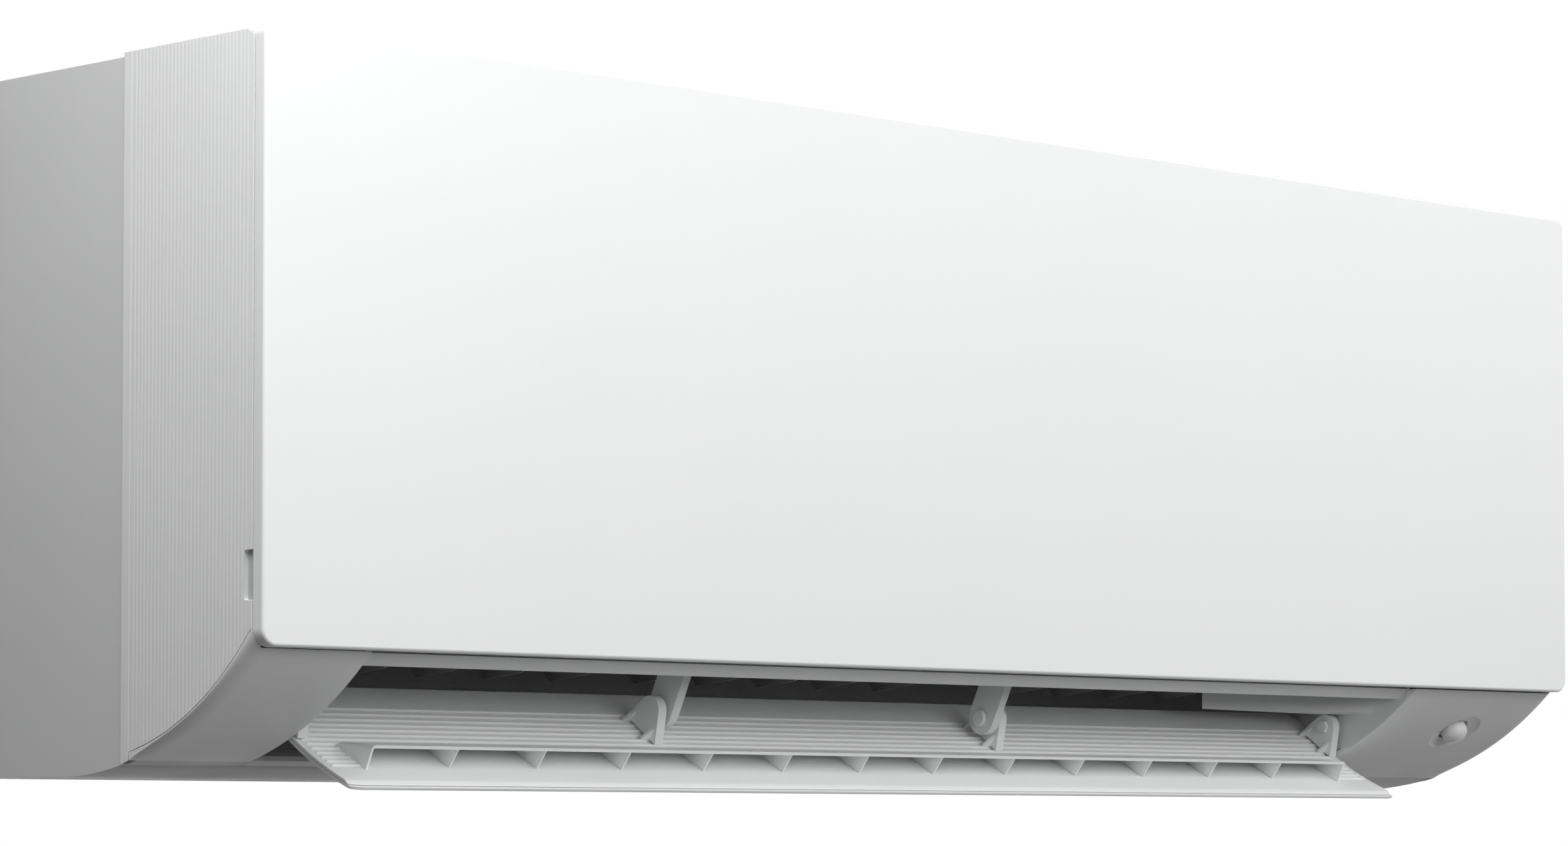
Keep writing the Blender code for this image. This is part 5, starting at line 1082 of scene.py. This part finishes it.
class UNIT_OT_flap(bpy.types.Operator):
    """Build the outlet flap with its ribs, wing, brackets and pins"""

    bl_idname = "unit.flap"
    bl_label = "Outlet flap"

    def execute(self, context):
        settings = context.scene.unit_flap
        built("flap_outer_skin", [flap_shell(skin_section)], "flap_white", "flap_outer", angle=40)
        built("flap_inner_liner", [flap_shell(liner_section)], "flap_white", "flap_inner", angle=40)
        self.ribs(settings.rib_count)
        self.wing(settings.gusset_count)
        for node in ("flap_bracket_1", "flap_bracket_2", "flap_bracket_3", "flap_bracket_4",
                     "flap_pin_1", "flap_pin_2", "flap_pin_left"):
            dressed(node, "flap_white", 0.0003, 3)
        low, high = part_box("flap_drive_shaft")
        start, end = low.x + WIDTH / 2, high.x + WIDTH / 2
        shank = turned([(start + 0.002, 0.0025), (end, 0.0025)], FLAP_PIVOT, 32)
        head = turned([(start, 0.0032), (start + 0.002, 0.0034)], FLAP_PIVOT, 6)
        built("flap_drive_shaft_turned", [shank, head], "flap_white", "flap_drive_shaft", 0.0003)
        for node in ("flap_hanger_1", "flap_hanger_2"):
            dressed(node, "flap_white", 0.0004, 3)
        dressed("flap_motor", "zinc_sheet")
        return {"FINISHED"}

    def ribs(self, count):
        """Long ribs behind the wing, and short ones that go on past its two ends."""
        left, right = FLAP_LEFT + 0.0035, FLAP_RIGHT - 0.0035
        whole = sum(FLAP_RIB_FIRST + i * FLAP_RIB_PITCH < WING_ROOT - 0.0005 for i in range(count))
        groups = (
            (0, whole, left, right),
            (whole, count, left, WING_LEFT - 0.0002),
            (whole, count, WING_RIGHT + 0.0002, right),
        )
        for number, (first, end, start, stop) in enumerate(groups, 1):
            middle = FLAP_RIB_FIRST + first * FLAP_RIB_PITCH
            curve = [(middle - 0.0005 * cos(t), 0.0025 + 0.0009 * sin(t)) for t in turns(8, pi)]
            rib = [opened(flap_point(*point)) for point in curve]
            bars = mesh_object(f"flap_inner_ribs_{number}", [across(rib, start, stop)])
            centre = place(WIDTH / 2, *opened(PROFILE_CENTRE))
            angle = -FLAP_RIB_PITCH / PROFILE_RADIUS
            repeated(bars, "Turned row", "flap_white", count=end - first, step_angle=angle, centre=centre)
            softened(bars, 0.0, angle=40)
            set_on(bars, "flap_white", "flap_inner")

    def wing(self, gusset_count):
        rings = [wing_ring(WING_ROOT + WING_REACH * i / 12) for i in range(13)]
        built("flap_wing_plate", [loft(rings)], "flap_white", "flap_wing", angle=35)
        foot, end = FLAP_FLOOR, WING_ROOT + WING_REACH
        tip = (end - 0.0004, FLAP_TOP + WING_RISE - WING_THICKNESS / 2)
        root = WING_ROOT + 0.001
        web = [(root, foot), (end - 0.003, foot), tip, (root, FLAP_TOP + 0.001)]
        right = WING_RIGHT - 0.0002
        web = across([opened(flap_point(*p)) for p in web], right - GUSSET_THICKNESS, right)
        webs = mesh_object("flap_wing_gussets", [web])
        pitch = (WING_RIGHT - WING_LEFT - GUSSET_MARGIN) / (gusset_count - 1)
        repeated(webs, "Straight row", "flap_white", count=gusset_count, step=(-pitch, 0.0, 0.0))
        softened(webs, 0.0001, angle=40)
        set_on(webs, "flap_white", "flap_wing")


class UNIT_OT_electrical_side(bpy.types.Operator):
    """Dress the electrical box, boards, terminals and button"""

    bl_idname = "unit.electrical_side"
    bl_label = "Electrical side"

    def execute(self, context):
        dressed("electrical_box", "inner_white")
        dressed("control_board", "board_green", 0.0002)
        dressed("terminal_block", "black_plastic")
        dressed("receiver_board", "board_green", 0.0002)
        dressed("manual_button", "button_grey")
        return {"FINISHED"}


class UNIT_OT_stage(bpy.types.Operator):
    """Set up the floor, the soft lights and the camera"""

    bl_idname = "unit.stage"
    bl_label = "Stage"

    def execute(self, context):
        scene = context.scene
        settings = scene.unit_stage
        scene.view_settings.view_transform = "Standard"
        floor_mesh = bpy.data.meshes.new("floor")
        corners = [(x, y, FLOOR_HEIGHT) for x, y in rectangle(-6, -6, 6, 6)]
        floor_mesh.from_pydata(corners, [], [(0, 1, 2, 3)])
        floor = added("floor", floor_mesh)
        material = bpy.data.materials.new("pale_floor")
        material.use_nodes = True
        tree = material.node_tree
        shader = tree.nodes["Principled BSDF"]
        shader.inputs["Base Color"].default_value = (0.32, 0.32, 0.325, 1.0)
        shader.inputs["Roughness"].default_value = 0.9
        glow = add_node(tree, "ShaderNodeEmission", {"Strength": 0.8})
        both = tree.nodes.new("ShaderNodeAddShader")
        choice = tree.nodes.new("ShaderNodeMixShader")
        link(
            tree,
            (shader, 0, both, 0), (glow, 0, both, 1), (self.seen_rays(tree), 0, choice, 0),
            (shader, 0, choice, 1), (both, 0, choice, 2),
            (choice, 0, tree.nodes["Material Output"], "Surface"),
        )
        floor_mesh.materials.append(material)
        self.light_world(scene)
        aim = place(WIDTH / 2, 0.05, 0.16)
        lamps = (
            ("front", (0.0, -1.60, 0.25), 1.4, 0.6, 1.0),
            ("front_right", (0.85, -1.15, 0.75), 0.9, 0.9, 0.98),
            ("side", (-0.80, -0.42, 0.60), 0.5, 0.5, 0.68),
            ("front_left", (-0.55, -1.20, 0.90), 0.8, 0.8, 0.36),
            ("left", (-1.25, -1.15, 0.20), 0.8, 0.8, 0.29),
            ("high_right", (0.70, -0.60, 1.15), 0.8, 0.8, 0.46),
            ("right", (1.25, -1.15, 0.20), 0.8, 0.8, 0.18),
        )
        for name, where, wide, tall, share in lamps:
            power = settings.key_power * share
            self.softbox(name + "_light", Vector(where), aim, wide, tall, power)
        self.camera(scene, settings)
        return {"FINISHED"}

    def seen_rays(self, tree):
        """One for the rays that see the white background, straight or in a gloss."""
        path = tree.nodes.new("ShaderNodeLightPath")
        first, second = (add_node(tree, "ShaderNodeMath", operation="MAXIMUM") for _ in range(2))
        link(
            tree,
            (path, "Is Camera Ray", first, 0), (path, "Is Transmission Ray", first, 1),
            (first, 0, second, 0), (path, "Is Glossy Ray", second, 1),
        )
        return second

    def light_world(self, scene):
        world = bpy.data.worlds.new("studio")
        scene.world = world
        world.use_nodes = True
        tree = world.node_tree
        background = tree.nodes["Background"]
        background.inputs["Color"].default_value = (1.0, 1.0, 1.0, 1.0)
        strength = add_node(tree, "ShaderNodeMapRange", {"To Min": 0.02, "To Max": 1.0})
        seen = self.seen_rays(tree)
        link(tree, (seen, 0, strength, "Value"), (strength, "Result", background, "Strength"))

    def softbox(self, name, where, aim, wide, tall, power):
        light = bpy.data.lights.new(name, "AREA")
        light.shape = "RECTANGLE"
        light.size, light.size_y = wide, tall
        light.energy = power
        lamp = added(name, light)
        lamp.location = where
        self.point(lamp, aim - where)

    def point(self, thing, ahead):
        thing.rotation_mode = "QUATERNION"
        thing.rotation_quaternion = ahead.to_track_quat("-Z", "Y")

    def camera(self, scene, settings):
        data = bpy.data.cameras.new("camera")
        data.lens = settings.lens
        data.sensor_width = 36.0
        data.shift_y = CAMERA_SHIFT
        data.clip_start, data.clip_end = 0.05, 60.0
        camera = added("camera", data)
        camera.location = CAMERA_PLACE
        level = [v * cos(CAMERA_RISE) for v in CAMERA_LEVEL]
        self.point(camera, Vector((*level, sin(CAMERA_RISE))))
        scene.camera = camera


PIECE_OPERATORS = (
    UNIT_OT_front_panel,
    UNIT_OT_side_covers,
    UNIT_OT_lower_surround,
    UNIT_OT_rear_chassis,
    UNIT_OT_frame_and_filters,
    UNIT_OT_heat_exchanger,
    UNIT_OT_fan,
    UNIT_OT_outlet_duct,
    UNIT_OT_flap,
    UNIT_OT_electrical_side,
    UNIT_OT_stage,
)


class UNIT_PT_sidebar(bpy.types.Panel):
    """Lists the settings and the operators of the indoor unit"""

    bl_idname = "UNIT_PT_sidebar"
    bl_label = "Indoor Unit"
    bl_space_type = "VIEW_3D"
    bl_region_type = "UI"
    bl_category = "Indoor Unit"

    def draw(self, context):
        layout = self.layout
        for name, group in SETTINGS.items():
            area = layout.box()
            for field in group.__annotations__:
                area.prop(getattr(context.scene, name), field)
        for operator in PIECE_OPERATORS:
            layout.operator(operator.bl_idname)


CLASSES = (*SETTINGS.values(), *PIECE_OPERATORS, UNIT_PT_sidebar)


def register():
    for cls in CLASSES:
        bpy.utils.register_class(cls)
    for name, group in SETTINGS.items():
        setattr(bpy.types.Scene, name, PointerProperty(type=group))


def unregister():
    for name in SETTINGS:
        delattr(bpy.types.Scene, name)
    for cls in reversed(CLASSES):
        bpy.utils.unregister_class(cls)


def main():
    register()
    bpy.ops.unit.front_panel()
    bpy.ops.unit.side_covers()
    bpy.ops.unit.lower_surround()
    bpy.ops.unit.rear_chassis()
    bpy.ops.unit.frame_and_filters()
    bpy.ops.unit.heat_exchanger()
    bpy.ops.unit.fan()
    bpy.ops.unit.outlet_duct()
    bpy.ops.unit.flap()
    bpy.ops.unit.electrical_side()
    bpy.ops.unit.stage()


if __name__ == "__main__":
    main()
